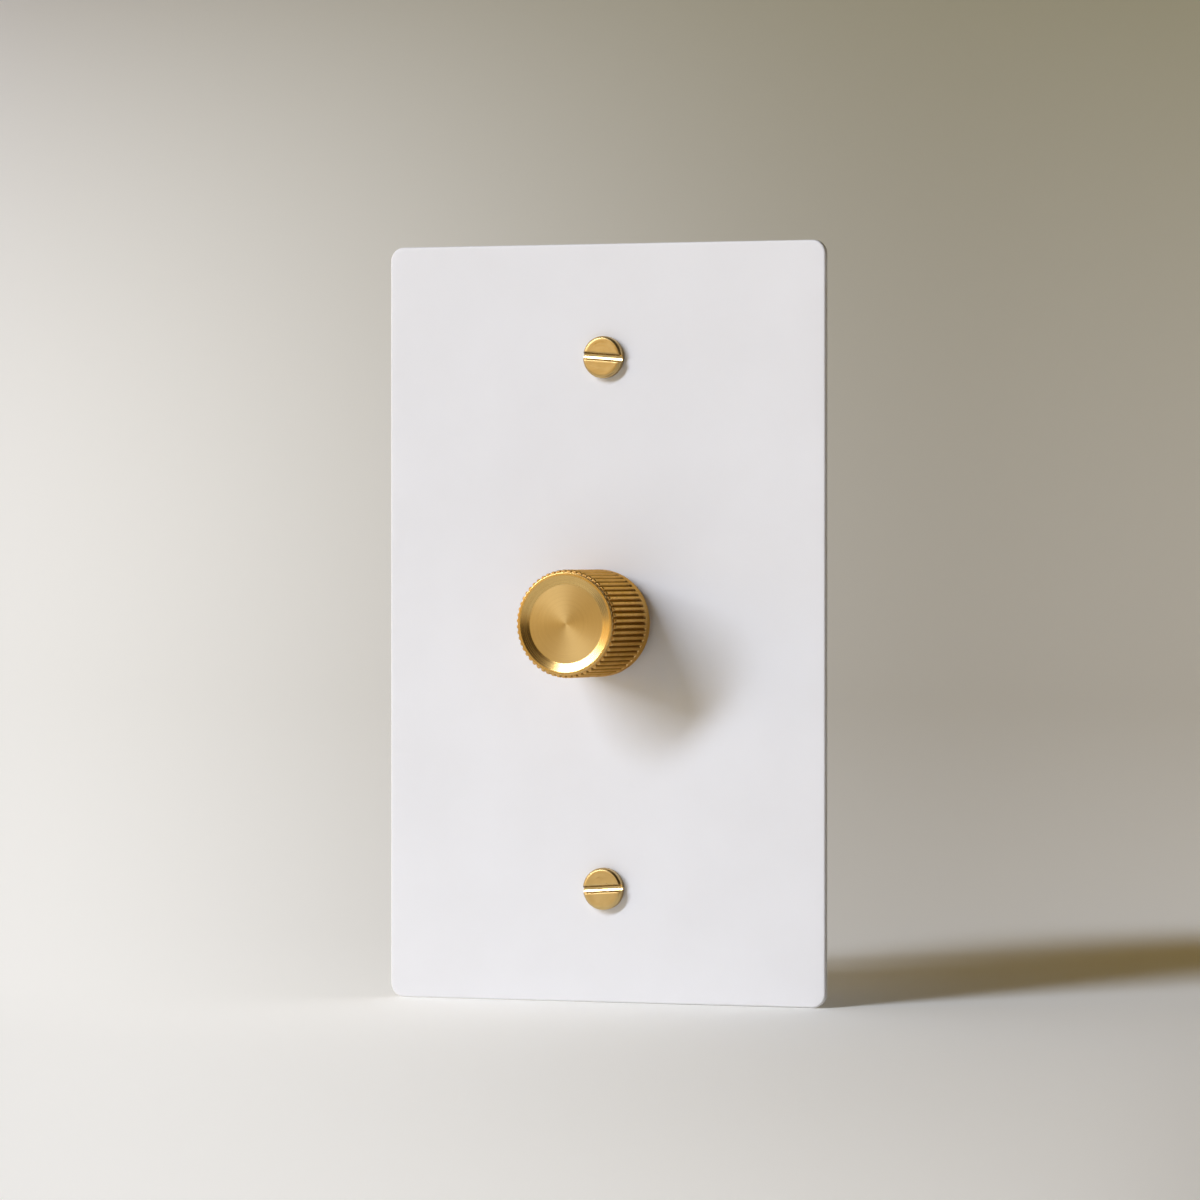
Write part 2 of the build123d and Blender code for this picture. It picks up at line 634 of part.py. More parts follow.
with BuildPart() as control_wafer:
    with BuildSketch(layer(wafer_back_y)):
        Circle(CASE_DIAMETER / 2)
        tail_length = CASE_DIAMETER / 2 + WAFER_TAIL_DROP
        with Locations((0, -tail_length / 2)):
            Rectangle(WAFER_TAIL_WIDTH, tail_length)
        Circle(journal_hole_radius, mode=Mode.SUBTRACT)
    extrude(amount=WAFER_THICKNESS)

with BuildPart() as resistance_track:
    with BuildSketch(layer(wafer_front_y)):
        add(ring_sector(TRACK_INNER_DIAMETER / 2, TRACK_OUTER_DIAMETER / 2, 90, TURN_RANGE))
    extrude(amount=TRACK_THICKNESS)

with BuildPart() as control_pins:
    with BuildSketch(layer(board_front_y)):
        with Locations((-PIN_PITCH, pin_z), (0, pin_z), (PIN_PITCH, pin_z)):
            Rectangle(PIN_WIDTH, PIN_THICKNESS)
    extrude(amount=board_front_y - wafer_back_y)

with BuildPart() as wiper_hub:
    with BuildSketch(layer(hub_flange_back_y)):
        Circle(HUB_FLANGE_DIAMETER / 2)
        # The lug points up at mid travel
        lug_radius = HUB_FLANGE_DIAMETER / 2 + HUB_LUG_REACH
        add(ring_sector(HUB_JOURNAL_DIAMETER / 2, lug_radius, 90, HUB_LUG_SPAN))
    extrude(amount=HUB_FLANGE_THICKNESS)
    hub_back_y = wafer_back_y - HUB_END_GAP
    with BuildSketch(layer(hub_back_y)):
        Circle(HUB_JOURNAL_DIAMETER / 2)
    extrude(amount=hub_back_y - hub_flange_back_y)
    with BuildSketch(layer(hub_back_y)):
        add(double_flat(shaft_bore_radius, SHAFT_TAIL_FLATS + 2 * SHAFT_CLEARANCE))
    extrude(amount=hub_back_y - hub_front_y, mode=Mode.SUBTRACT)

with BuildPart() as wiper_contact:
    wiper_back_y = hub_flange_back_y + WIPER_THICKNESS
    with BuildSketch(layer(wiper_back_y)):
        Circle(WIPER_DIAMETER / 2)
        Circle(HUB_JOURNAL_DIAMETER / 2 + THREAD_CLEARANCE, mode=Mode.SUBTRACT)
    extrude(amount=WIPER_THICKNESS)
    # A bent finger leaves the ring, runs back to the track and turns up at its toe
    track_radius = (TRACK_INNER_DIAMETER + TRACK_OUTER_DIAMETER) / 4
    finger_y = track_front_y - WIPER_TRACK_GAP - WIPER_THICKNESS / 2
    with BuildSketch(Plane.XY.offset(track_radius)):
        with BuildLine():
            FilletPolyline(
                (-WIPER_FINGER_START, wiper_back_y - WIPER_THICKNESS / 2),
                (0, finger_y),
                (WIPER_FINGER_TOE, finger_y - WIPER_TOE_LIFT),
                radius=WIPER_THICKNESS,
            )
        trace(line_width=WIPER_THICKNESS)
    extrude(amount=WIPER_FINGER_WIDTH / 2, both=True)
    # The slanted start of the finger is trimmed flush with the ring's front
    with BuildSketch(layer(hub_flange_back_y)):
        Circle(CASE_DIAMETER)
    extrude(amount=WIPER_THICKNESS, mode=Mode.SUBTRACT)

with BuildPart() as switch_case:
    with BuildSketch(layer(board_front_y)):
        RectangleRounded(SWITCH_SIZE, SWITCH_SIZE, SWITCH_EDGE)
    extrude(amount=board_front_y - switch_front_y)
    with BuildSketch(layer(spring_well_y)):
        Circle(SPRING_WELL_DIAMETER / 2)
    extrude(amount=SPRING_WELL_DEPTH, mode=Mode.SUBTRACT)
    with BuildSketch(layer(switch_bore_y)):
        Circle(PLUNGER_STEM_DIAMETER / 2 + PLUNGER_CLEARANCE)
    extrude(amount=switch_bore_y - spring_well_y, mode=Mode.SUBTRACT)

with BuildPart() as switch_plunger:
    with BuildSketch(layer(plunger_head_y)):
        Circle(PLUNGER_HEAD_DIAMETER / 2)
    extrude(amount=PLUNGER_HEAD_THICKNESS)
    with BuildSketch(layer(plunger_tail_y)):
        Circle(PLUNGER_STEM_DIAMETER / 2)
    extrude(amount=plunger_tail_y - plunger_head_y)

with BuildPart() as switch_spring:
    # A coil of square wire between the plunger's head and the floor of the well
    coil_start_y = plunger_head_y + SPRING_WIRE / 2 + SPRING_SEAT_GAP
    coil_length = spring_well_y - SPRING_WIRE / 2 - SPRING_SEAT_GAP - coil_start_y
    with BuildLine() as coil:
        Helix(
            coil_length / SPRING_TURNS,
            coil_length,
            SPRING_DIAMETER / 2,
            center=(0, coil_start_y, 0),
            direction=(0, 1, 0),
        )
    with BuildSketch(Plane(origin=coil.line @ 0, z_dir=coil.line % 0)):
        Rectangle(SPRING_WIRE, SPRING_WIRE)
    sweep(is_frenet=True)

with BuildPart() as circuit_board:
    with BuildSketch(layer(board_back_y)):
        RectangleRounded(board_width, board_height, BOARD_CORNER)
    extrude(amount=BOARD_THICKNESS)

with BuildPart() as device_pad:
    pad_height = DEVICE_BODY_HEIGHT + DEVICE_TAB_HEIGHT + 2 * PAD_MARGIN
    pad_z = DEVICE_TOP_Z + PAD_MARGIN - pad_height / 2
    with BuildSketch(layer(strap_back_y + PAD_THICKNESS)):
        with Locations((DEVICE_X, pad_z)):
            Rectangle(DEVICE_WIDTH + 2 * PAD_MARGIN, pad_height)
        with Locations((DEVICE_X, device_hole_z)):
            Circle(DEVICE_HOLE_DIAMETER / 2, mode=Mode.SUBTRACT)
    extrude(amount=PAD_THICKNESS)

with BuildPart() as power_device:
    device_front_y = strap_back_y + PAD_THICKNESS
    tab_rear_y = device_front_y + DEVICE_TAB_THICKNESS
    device_height = DEVICE_BODY_HEIGHT + DEVICE_TAB_HEIGHT
    with BuildSketch(layer(tab_rear_y)):
        with Locations((DEVICE_X, DEVICE_TOP_Z - device_height / 2)):
            Rectangle(DEVICE_WIDTH, device_height)
        with Locations((DEVICE_X, device_hole_z)):
            Circle(DEVICE_HOLE_DIAMETER / 2, mode=Mode.SUBTRACT)
    extrude(amount=DEVICE_TAB_THICKNESS)
    with BuildSketch(layer(device_front_y + DEVICE_BODY_THICKNESS)):
        with Locations((DEVICE_X, DEVICE_TOP_Z - DEVICE_BODY_HEIGHT / 2)):
            Rectangle(DEVICE_WIDTH, DEVICE_BODY_HEIGHT)
    extrude(amount=DEVICE_BODY_THICKNESS)
    # Three leads leave the top of the body and turn back to the board
    lead_y = device_front_y + DEVICE_LEAD_DEPTH
    lead_z = DEVICE_TOP_Z + DEVICE_LEAD_RISE
    for step in (-1, 0, 1):
        with BuildSketch(Plane.YZ.offset(DEVICE_X + step * DEVICE_LEAD_PITCH)):
            with BuildLine():
                FilletPolyline(
                    (lead_y, DEVICE_TOP_Z),
                    (lead_y, lead_z),
                    (board_front_y, lead_z),
                    radius=DEVICE_LEAD_BEND,
                )
            trace(line_width=DEVICE_LEAD_THICKNESS)
        extrude(amount=DEVICE_LEAD_WIDTH / 2, both=True)

with BuildPart() as device_screw:
    with BuildSketch(layer(tab_rear_y)):
        with Locations((DEVICE_X, device_hole_z)):
            Circle(DEVICE_SCREW_DIAMETER / 2)
    extrude(amount=tab_rear_y - strap_front_y)
    with BuildSketch(layer(tab_rear_y)):
        with Locations((DEVICE_X, device_hole_z)):
            Circle(DEVICE_SCREW_HEAD_DIAMETER / 2)
    extrude(amount=-DEVICE_SCREW_HEAD_HEIGHT)
    with BuildSketch(layer(tab_rear_y + DEVICE_SCREW_HEAD_HEIGHT)):
        with Locations((DEVICE_X, device_hole_z)):
            Rectangle(2 * DEVICE_SCREW_HEAD_DIAMETER, DEVICE_SCREW_SLOT_WIDTH)
    extrude(amount=DEVICE_SCREW_SLOT_DEPTH, mode=Mode.SUBTRACT)

with BuildPart() as choke_core:
    choke_front_y = board_front_y - CHOKE_HEIGHT
    with BuildSketch(layer(board_front_y)):
        with Locations((CHOKE_X, CHOKE_Z)):
            Circle(CHOKE_DIAMETER / 2)
    extrude(amount=CHOKE_FLANGE)
    with BuildSketch(layer(board_front_y - CHOKE_FLANGE)):
        with Locations((CHOKE_X, CHOKE_Z)):
            Circle(CHOKE_CORE_DIAMETER / 2)
    extrude(amount=CHOKE_HEIGHT - 2 * CHOKE_FLANGE)
    with BuildSketch(layer(choke_front_y + CHOKE_FLANGE)):
        with Locations((CHOKE_X, CHOKE_Z)):
            Circle(CHOKE_DIAMETER / 2)
    extrude(amount=CHOKE_FLANGE)

with BuildPart() as choke_winding:
    with BuildSketch(layer(board_front_y - CHOKE_FLANGE - WINDING_GAP)):
        with Locations((CHOKE_X, CHOKE_Z)):
            Circle(WINDING_DIAMETER / 2)
            Circle(CHOKE_CORE_DIAMETER / 2 + WINDING_GAP, mode=Mode.SUBTRACT)
    extrude(amount=CHOKE_HEIGHT - 2 * CHOKE_FLANGE - 2 * WINDING_GAP)

with BuildPart() as filter_capacitor:
    with BuildSketch(layer(board_front_y)):
        with Locations((FILTER_X, FILTER_Z)):
            RectangleRounded(FILTER_WIDTH, FILTER_DEPTH, BLOCK_EDGE)
    extrude(amount=FILTER_HEIGHT)
    chamfer(filter_capacitor.edges().group_by(Axis.Y)[0], BLOCK_EDGE / 2)

with BuildPart() as timing_capacitor:
    with BuildSketch(layer(board_front_y)):
        with Locations((TIMING_X, TIMING_Z)):
            RectangleRounded(TIMING_WIDTH, TIMING_DEPTH, BLOCK_EDGE)
    extrude(amount=TIMING_HEIGHT)
    chamfer(timing_capacitor.edges().group_by(Axis.Y)[0], BLOCK_EDGE / 2)

with BuildPart() as resistor:
    add(axial_component(RESISTOR_X, RESISTOR_Z, RESISTOR_LENGTH, RESISTOR_DIAMETER))

with BuildPart() as trigger_diode:
    add(axial_component(DIODE_X, DIODE_Z, DIODE_LENGTH, DIODE_DIAMETER))

with BuildPart() as housing:
    with BuildSketch(layer(housing_back_y)):
        RectangleRounded(HOUSING_WIDTH, housing_height, HOUSING_CORNER)
    extrude(amount=HOUSING_DEPTH)
    back_edges = housing.faces().sort_by(Axis.Y)[-1].outer_wire().edges()
    chamfer(back_edges, HOUSING_BACK_EDGE)
    with BuildSketch(layer(housing_floor_y)):
        RectangleRounded(inner_width, inner_height, HOUSING_CORNER - HOUSING_WALL)
    extrude(amount=HOUSING_DEPTH - HOUSING_WALL, mode=Mode.SUBTRACT)
    # Screw bosses in the corners and posts under the board
    with BuildSketch(layer(housing_floor_y)):
        with Locations(*boss_places):
            Circle(BOSS_DIAMETER / 2)
    extrude(amount=housing_floor_y - strap_back_y)
    with BuildSketch(layer(housing_floor_y)):
        with Locations(*post_places):
            Circle(POST_DIAMETER / 2)
    extrude(amount=BOARD_STANDOFF)
    with BuildSketch(layer(strap_back_y)):
        with Locations(*boss_places):
            Circle(HOUSING_SCREW_DIAMETER / 2 + THREAD_CLEARANCE)
    extrude(amount=-HOUSING_SCREW_LENGTH - HOUSING_SCREW_END_GAP, mode=Mode.SUBTRACT)
    # Each terminal pocket is walled off from the inside and open to the side and the back
    side_middle_x = (HOUSING_WIDTH / 2 + pocket_inner_x) / 2
    with BuildSketch(layer(housing_floor_y)):
        for side, height in terminal_places:
            with Locations((side * side_middle_x, height)):
                Rectangle(
                    HOUSING_WIDTH / 2 - pocket_inner_x, POCKET_HEIGHT + 2 * POCKET_WALL
                )
    extrude(amount=housing_floor_y - pocket_front_y + POCKET_WALL)
    with BuildSketch(layer(housing_back_y)):
        for side, height in terminal_places:
            with Locations((side * HOUSING_WIDTH / 2, height)):
                Rectangle(2 * POCKET_DEPTH, POCKET_HEIGHT)
    extrude(amount=POCKET_LENGTH, mode=Mode.SUBTRACT)
    # A slit for the terminal's tongue and a hole for the screw's tip
    with BuildSketch(layer(board_front_y + TONGUE_CLEARANCE)):
        for side, height in terminal_places:
            with Locations((side * pocket_floor_x, height)):
                Rectangle(4 * POCKET_WALL, TONGUE_WIDTH + 2 * TONGUE_CLEARANCE)
    extrude(amount=TERMINAL_THICKNESS + 2 * TONGUE_CLEARANCE, mode=Mode.SUBTRACT)
    for side, height in terminal_places:
        with BuildSketch(Plane.YZ.offset(side * pocket_floor_x)):
            with Locations((terminal_screw_y, height)):
                Circle(TERMINAL_SCREW_DIAMETER / 2 + TERMINAL_HOLE_CLEARANCE)
        extrude(amount=-side * 2 * POCKET_WALL, mode=Mode.SUBTRACT)

with BuildPart() as housing_screws:
    with BuildSketch(layer(strap_front_y)):
        with Locations(*boss_places):
            Circle(HOUSING_SCREW_HEAD_DIAMETER / 2)
    extrude(amount=HOUSING_SCREW_HEAD_HEIGHT)
    with BuildSketch(layer(strap_back_y + HOUSING_SCREW_LENGTH)):
        with Locations(*boss_places):
            Circle(HOUSING_SCREW_DIAMETER / 2)
    extrude(amount=HOUSING_SCREW_LENGTH + STRAP_THICKNESS)
    with BuildSketch(layer(strap_front_y - HOUSING_SCREW_HEAD_HEIGHT)):
        with Locations(*boss_places):
            Rectangle(HOUSING_SCREW_HEAD_DIAMETER, HOUSING_SCREW_SLOT_WIDTH)
    extrude(amount=-HOUSING_SCREW_SLOT_DEPTH, mode=Mode.SUBTRACT)

with BuildPart() as terminal_plates:
    plate_middle_x = (pocket_floor_x + terminal_face_x) / 2
    tongue_middle_x = (tongue_end_x + terminal_face_x) / 2
    with BuildSketch(layer(board_front_y)):
        for side, height in terminal_places:
            with Locations((side * plate_middle_x, height)):
                Rectangle(TERMINAL_THICKNESS, TERMINAL_WIDTH)
    extrude(amount=board_front_y - terminal_front_y)
    with BuildSketch(layer(board_front_y)):
        for side, height in terminal_places:
            with Locations((side * tongue_middle_x, height)):
                Rectangle(terminal_face_x - tongue_end_x, TONGUE_WIDTH)
    extrude(amount=TERMINAL_THICKNESS)
    for side, height in terminal_places:
        with BuildSketch(Plane.YZ.offset(side * terminal_face_x)):
            with Locations((terminal_screw_y, height)):
                Circle(TERMINAL_SCREW_DIAMETER / 2 + THREAD_CLEARANCE)
        extrude(amount=-side * TERMINAL_THICKNESS, mode=Mode.SUBTRACT)

with BuildPart() as terminal_screws:
    for side, height in terminal_places:
        with BuildSketch(Plane.YZ.offset(side * terminal_face_x)):
            with Locations((terminal_screw_y, height)):
                Circle(TERMINAL_HEAD_DIAMETER / 2)
        extrude(amount=side * TERMINAL_HEAD_HEIGHT)
        with BuildSketch(Plane.YZ.offset(side * terminal_face_x)):
            with Locations((terminal_screw_y, height)):
                Circle(TERMINAL_SCREW_DIAMETER / 2)
        extrude(amount=-side * TERMINAL_SCREW_LENGTH)
    for side, height in terminal_places:
        with BuildSketch(Plane.YZ.offset(side * (terminal_face_x + TERMINAL_HEAD_HEIGHT))):
            with Locations((terminal_screw_y, height)):
                Rectangle(2 * TERMINAL_HEAD_DIAMETER, TERMINAL_SLOT_WIDTH)
        extrude(amount=-side * TERMINAL_SLOT_DEPTH, mode=Mode.SUBTRACT)

pieces = {
    "face_plate": face_plate,
    "wall_gasket": wall_gasket,
    "plate_screws": plate_screws,
    "screw_retainers": screw_retainers,
    "mounting_strap": mounting_strap,
    "earth_screw": earth_screw,
    "threaded_neck": threaded_neck,
    "neck_washer": neck_washer,
    "neck_nut": neck_nut,
    "shaft": shaft,
    "shaft_clip": shaft_clip,
    "knob": knob,
    "knob_set_screw": knob_set_screw,
    "control_case": control_case,
    "control_wafer": control_wafer,
    "resistance_track": resistance_track,
    "control_pins": control_pins,
    "wiper_hub": wiper_hub,
    "wiper_contact": wiper_contact,
    "switch_case": switch_case,
    "switch_plunger": switch_plunger,
    "switch_spring": switch_spring,
    "circuit_board": circuit_board,
    "device_pad": device_pad,
    "power_device": power_device,
    "device_screw": device_screw,
    "choke_core": choke_core,
    "choke_winding": choke_winding,
    "filter_capacitor": filter_capacitor,
    "timing_capacitor": timing_capacitor,
    "resistor": resistor,
    "trigger_diode": trigger_diode,
    "housing": housing,
    "housing_screws": housing_screws,
    "terminal_plates": terminal_plates,
    "terminal_screws": terminal_screws,
}

os.makedirs("parts", exist_ok=True)
for name, piece in pieces.items():
    piece.part.label = name
    export_step(piece.part, f"parts/{name}.step")
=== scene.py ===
import logging
import math
from dataclasses import dataclass
from enum import Enum

import bpy
import numpy as np
from mathutils import Matrix, Quaternion, Vector


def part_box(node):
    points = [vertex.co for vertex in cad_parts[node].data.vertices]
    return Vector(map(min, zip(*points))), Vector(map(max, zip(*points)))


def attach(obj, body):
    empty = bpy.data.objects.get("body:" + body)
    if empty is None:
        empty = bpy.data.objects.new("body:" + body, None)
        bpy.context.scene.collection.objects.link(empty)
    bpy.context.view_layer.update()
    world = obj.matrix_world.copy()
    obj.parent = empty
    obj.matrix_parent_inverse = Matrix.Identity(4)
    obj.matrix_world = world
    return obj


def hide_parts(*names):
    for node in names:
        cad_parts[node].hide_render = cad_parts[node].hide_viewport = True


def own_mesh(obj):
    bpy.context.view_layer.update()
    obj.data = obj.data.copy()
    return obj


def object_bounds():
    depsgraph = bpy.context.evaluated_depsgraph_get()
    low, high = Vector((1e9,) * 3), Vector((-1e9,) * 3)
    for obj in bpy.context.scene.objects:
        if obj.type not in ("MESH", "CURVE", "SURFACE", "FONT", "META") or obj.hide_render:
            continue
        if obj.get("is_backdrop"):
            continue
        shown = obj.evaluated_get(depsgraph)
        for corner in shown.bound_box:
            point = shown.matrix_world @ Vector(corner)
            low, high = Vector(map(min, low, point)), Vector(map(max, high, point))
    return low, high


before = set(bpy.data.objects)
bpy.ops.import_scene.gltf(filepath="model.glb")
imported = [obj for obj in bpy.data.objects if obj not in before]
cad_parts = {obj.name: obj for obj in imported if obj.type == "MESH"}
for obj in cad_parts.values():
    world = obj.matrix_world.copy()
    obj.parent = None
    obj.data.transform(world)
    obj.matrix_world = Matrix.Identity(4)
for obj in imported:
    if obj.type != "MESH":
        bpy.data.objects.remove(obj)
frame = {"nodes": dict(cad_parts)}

# The dressed wall dimmer. Most CAD pieces keep their shapes and get finishes made of nodes. The face
# plate, the fluted knob, the two plate screws and the switch's spring are made again here with finer
# detail. Sizes in the classes are millimetres, except those of the studio and its paper, which are
# metres, as all meshes are. The frame is that of the CAD part.

MM = 0.001
# Height of the upper plate screw above the knob's axis, and depth of the lower one below it
SCREW_HEIGHT = 41.67
TURNED_MAP = "turned"
GROOVE = "groove"
# Step of the turned map from an end ring to its middle, and the grid on which points fall together
POLE_STEP = 0.01
JOIN_GRID = 0.0001
LOG = logging.getLogger("wall_dimmer")
Colour = tuple[float, float, float]


class Zone(Enum):
    """Surfaces of the knob, numbered as its material slots."""

    SPUN = 0
    POLISHED = 1
    FLUTED = 2


class Lay(Enum):
    """Ways in which the fine marks of a metal run, as the scale of the marks along X, Y and Z."""

    CLOUDED = (1.0, 1.0, 1.0)
    UPRIGHT = (1.0, 1.0, 0.03)
    LEVEL = (0.03, 1.0, 1.0)


class Graph:
    """Node tree with short calls for the nodes that the finishes and the room share."""

    def __init__(self, owner: bpy.types.Material | bpy.types.World, shader: str, output: str) -> None:
        """Clear the owner's node tree and join a shader to its output.

        Args:
            owner: Material or world that the nodes belong to.
            shader: Kind of the shader node.
            output: Kind of the output node.
        """
        owner.use_nodes = True
        self.tree = owner.node_tree
        self.tree.nodes.clear()
        self.shader = self.add(shader)
        self.feed(self.shader.outputs[0], self.add(output).inputs["Surface"])

    def add(self, kind: str) -> bpy.types.Node:
        """Add a node of the given kind."""
        return self.tree.nodes.new(kind)

    def feed(self, value: object, socket: bpy.types.NodeSocket) -> None:
        """Join a node's output to a socket, or set the socket to a plain value.

        Args:
            value: Output socket, number, vector or colour.
            socket: Input that takes it.
        """
        if isinstance(value, bpy.types.NodeSocket):
            self.tree.links.new(value, socket)
        else:
            socket.default_value = value

    def place(self) -> bpy.types.NodeSocket:
        """Give the position on the piece in metres."""
        return self.add("ShaderNodeTexCoord").outputs["Object"]

    def groove(self) -> bpy.types.NodeSocket:
        """Give the depth of the groove that the mesh stores at its points.

        Returns:
            The depth, from 0 to 1.
        """
        node = self.add("ShaderNodeAttribute")
        node.attribute_name = GROOVE
        return node.outputs["Fac"]

    def stretch(self, vector: bpy.types.NodeSocket, scale: Colour) -> bpy.types.NodeSocket:
        """Scale a vector along its three axes.

        Args:
            vector: Vector to scale.
            scale: Factor for each axis.

        Returns:
            The scaled vector.
        """
        node = self.add("ShaderNodeMapping")
        self.feed(vector, node.inputs["Vector"])
        node.inputs["Scale"].default_value = scale
        return node.outputs["Vector"]

    def split(self, vector: bpy.types.NodeSocket) -> list[bpy.types.NodeSocket]:
        """Take a vector apart.

        Args:
            vector: Vector to take apart.

        Returns:
            Its three parts.
        """
        node = self.add("ShaderNodeSeparateXYZ")
        self.feed(vector, node.inputs[0])
        return list(node.outputs)

    def gather(self, x: object, y: object, z: object) -> bpy.types.NodeSocket:
        """Make a vector of three parts.

        Args:
            x: First number or socket.
            y: Second number or socket.
            z: Third number or socket.

        Returns:
            The vector.
        """
        node = self.add("ShaderNodeCombineXYZ")
        for value, socket in zip((x, y, z), node.inputs):
            self.feed(value, socket)
        return node.outputs[0]

    def noise(self, place: object, scale: float, detail: float = 2.0) -> bpy.types.NodeSocket:
        """Give soft noise between 0 and 1.

        Args:
            place: Position that the noise is read at.
            scale: Number of noise cells in one unit of the position.
            detail: Number of finer layers.

        Returns:
            The value of the noise.
        """
        node = self.add("ShaderNodeTexNoise")
        self.feed(place, node.inputs["Vector"])
        node.inputs["Scale"].default_value = scale
        node.inputs["Detail"].default_value = detail
        return node.outputs[0]

    def math(self, operation: str, first: object, second: object = 0.0) -> bpy.types.NodeSocket:
        """Join two numbers by one operation.

        Args:
            operation: Name of the operation, as the Math node has it.
            first: Left number or socket.
            second: Right number or socket.

        Returns:
            The result.
        """
        node = self.add("ShaderNodeMath")
        node.operation = operation
        self.feed(first, node.inputs[0])
        self.feed(second, node.inputs[1])
        return node.outputs[0]

    def plus(self, first: object, second: object) -> bpy.types.NodeSocket:
        """Add two numbers."""
        return self.math("ADD", first, second)

    def minus(self, first: object, second: object) -> bpy.types.NodeSocket:
        """Take the second number from the first."""
        return self.math("SUBTRACT", first, second)

    def times(self, first: object, second: object) -> bpy.types.NodeSocket:
        """Multiply two numbers."""
        return self.math("MULTIPLY", first, second)

    def weigh(self, first: object, second: object, share: float) -> bpy.types.NodeSocket:
        """Add the given share of the first number to the rest of the second."""
        return self.plus(self.times(first, share), self.times(second, 1.0 - share))

    def span(
        self, value: object, start: float, end: float, low: float, high: float, kind: str = "LINEAR"
    ) -> bpy.types.NodeSocket:
        """Carry a number from one range to another and hold it there.

        Args:
            value: Number to carry over.
            start: Start of the range it comes from.
            end: End of the range it comes from.
            low: Result at the start.
            high: Result at the end.
            kind: Way between the ends, as the Map Range node has it.

        Returns:
            The number in its new range.
        """
        node = self.add("ShaderNodeMapRange")
        node.interpolation_type = kind
        self.feed(value, node.inputs["Value"])
        for name, number in (("From Min", start), ("From Max", end), ("To Min", low), ("To Max", high)):
            node.inputs[name].default_value = number
        return node.outputs["Result"]

    def spread(
        self, noise: object, low: float, high: float, margin: float = 0.2
    ) -> bpy.types.NodeSocket:
        """Carry soft noise, which lies mostly within the margin of a half, to a range of its own."""
        return self.span(noise, 0.5 - margin, 0.5 + margin, low, high)

    def mix(self, share: object, first: object, second: object) -> bpy.types.NodeSocket:
        """Blend two colours.

        Args:
            share: Part of the second colour, from 0 to 1.
            first: Colour at share 0.
            second: Colour at share 1.

        Returns:
            The blended colour.
        """
        node = self.add("ShaderNodeMix")
        node.data_type = "RGBA"
        self.feed(share, node.inputs[0])
        # The node's colour sockets stand behind those for numbers and vectors
        for value, socket in ((first, node.inputs[6]), (second, node.inputs[7])):
            self.feed((*value, 1.0) if isinstance(value, tuple) else value, socket)
        return node.outputs[2]

    def relief(self, height: object, depth: float, strength: float) -> None:
        """Raise the surface in shading by a height field.

        Args:
            height: Value of the field, from 0 to 1.
            depth: Height in millimetres that 1 stands for.
            strength: Share of the effect.
        """
        node = self.add("ShaderNodeBump")
        self.feed(height, node.inputs["Height"])
        node.inputs["Distance"].default_value = depth * MM
        node.inputs["Strength"].default_value = strength
        self.feed(node.outputs["Normal"], self.shader.inputs["Normal"])

    def set(self, **values: object) -> None:
        """Feed sockets of the shader, named with underscores for spaces."""
        for name, value in values.items():
            self.feed(value, self.shader.inputs[name.replace("_", " ")])


@dataclass(frozen=True)
class Finish:
    """What every finish has: a name, a main colour and a second colour that it drifts to.

    Sizes of marks are millimetres. A scale is the number of noise cells in a metre.
    """

    name: str
    colour: Colour
    drift: Colour

    def paint(self, graph: Graph) -> None:
        """Fill the node tree; each kind of finish has its own way."""
        raise NotImplementedError

    def tone(self, graph: Graph, clouds: object, margin: float = 0.2) -> bpy.types.NodeSocket:
        """Blend from the main colour to the drift as the clouds grow."""
        return graph.mix(graph.spread(clouds, 0.0, 1.0, margin), self.colour, self.drift)

    def material(self) -> bpy.types.Material:
        """Make the material of this finish.

        Returns:
            The material, with its nodes.
        """
        material = bpy.data.materials.new(self.name)
        self.paint(Graph(material, "ShaderNodeBsdfPrincipled", "ShaderNodeOutputMaterial"))
        return material


@dataclass(frozen=True)
class PowderCoat(Finish):
    """Matte baked coat: a fine pebbled skin with slight clouds in its tone."""

    smooth: float = 0.44
    rough: float = 0.56
    pebble: float = 0.55
    pebble_share: float = 0.75
    skin_depth: float = 0.010
    skin_share: float = 0.6
    cloud_scale: float = 60.0
    cloud_margin: float = 0.15

    def paint(self, graph: Graph) -> None:
        """Lay pebbles of the given size, grain of a quarter of it on them, and wide clouds of tone.

        Args:
            graph: Node tree to fill.
        """
        place = graph.place()
        pebbles = graph.noise(place, 1.0 / (self.pebble * MM))
        grain = graph.noise(place, 4.0 / (self.pebble * MM), detail=1.0)
        clouds = graph.noise(place, self.cloud_scale, detail=3.0)
        graph.set(
            Base_Color=self.tone(graph, clouds, self.cloud_margin),
            Roughness=graph.spread(pebbles, self.smooth, self.rough),
        )
        graph.relief(graph.weigh(pebbles, grain, self.pebble_share), self.skin_depth, self.skin_share)


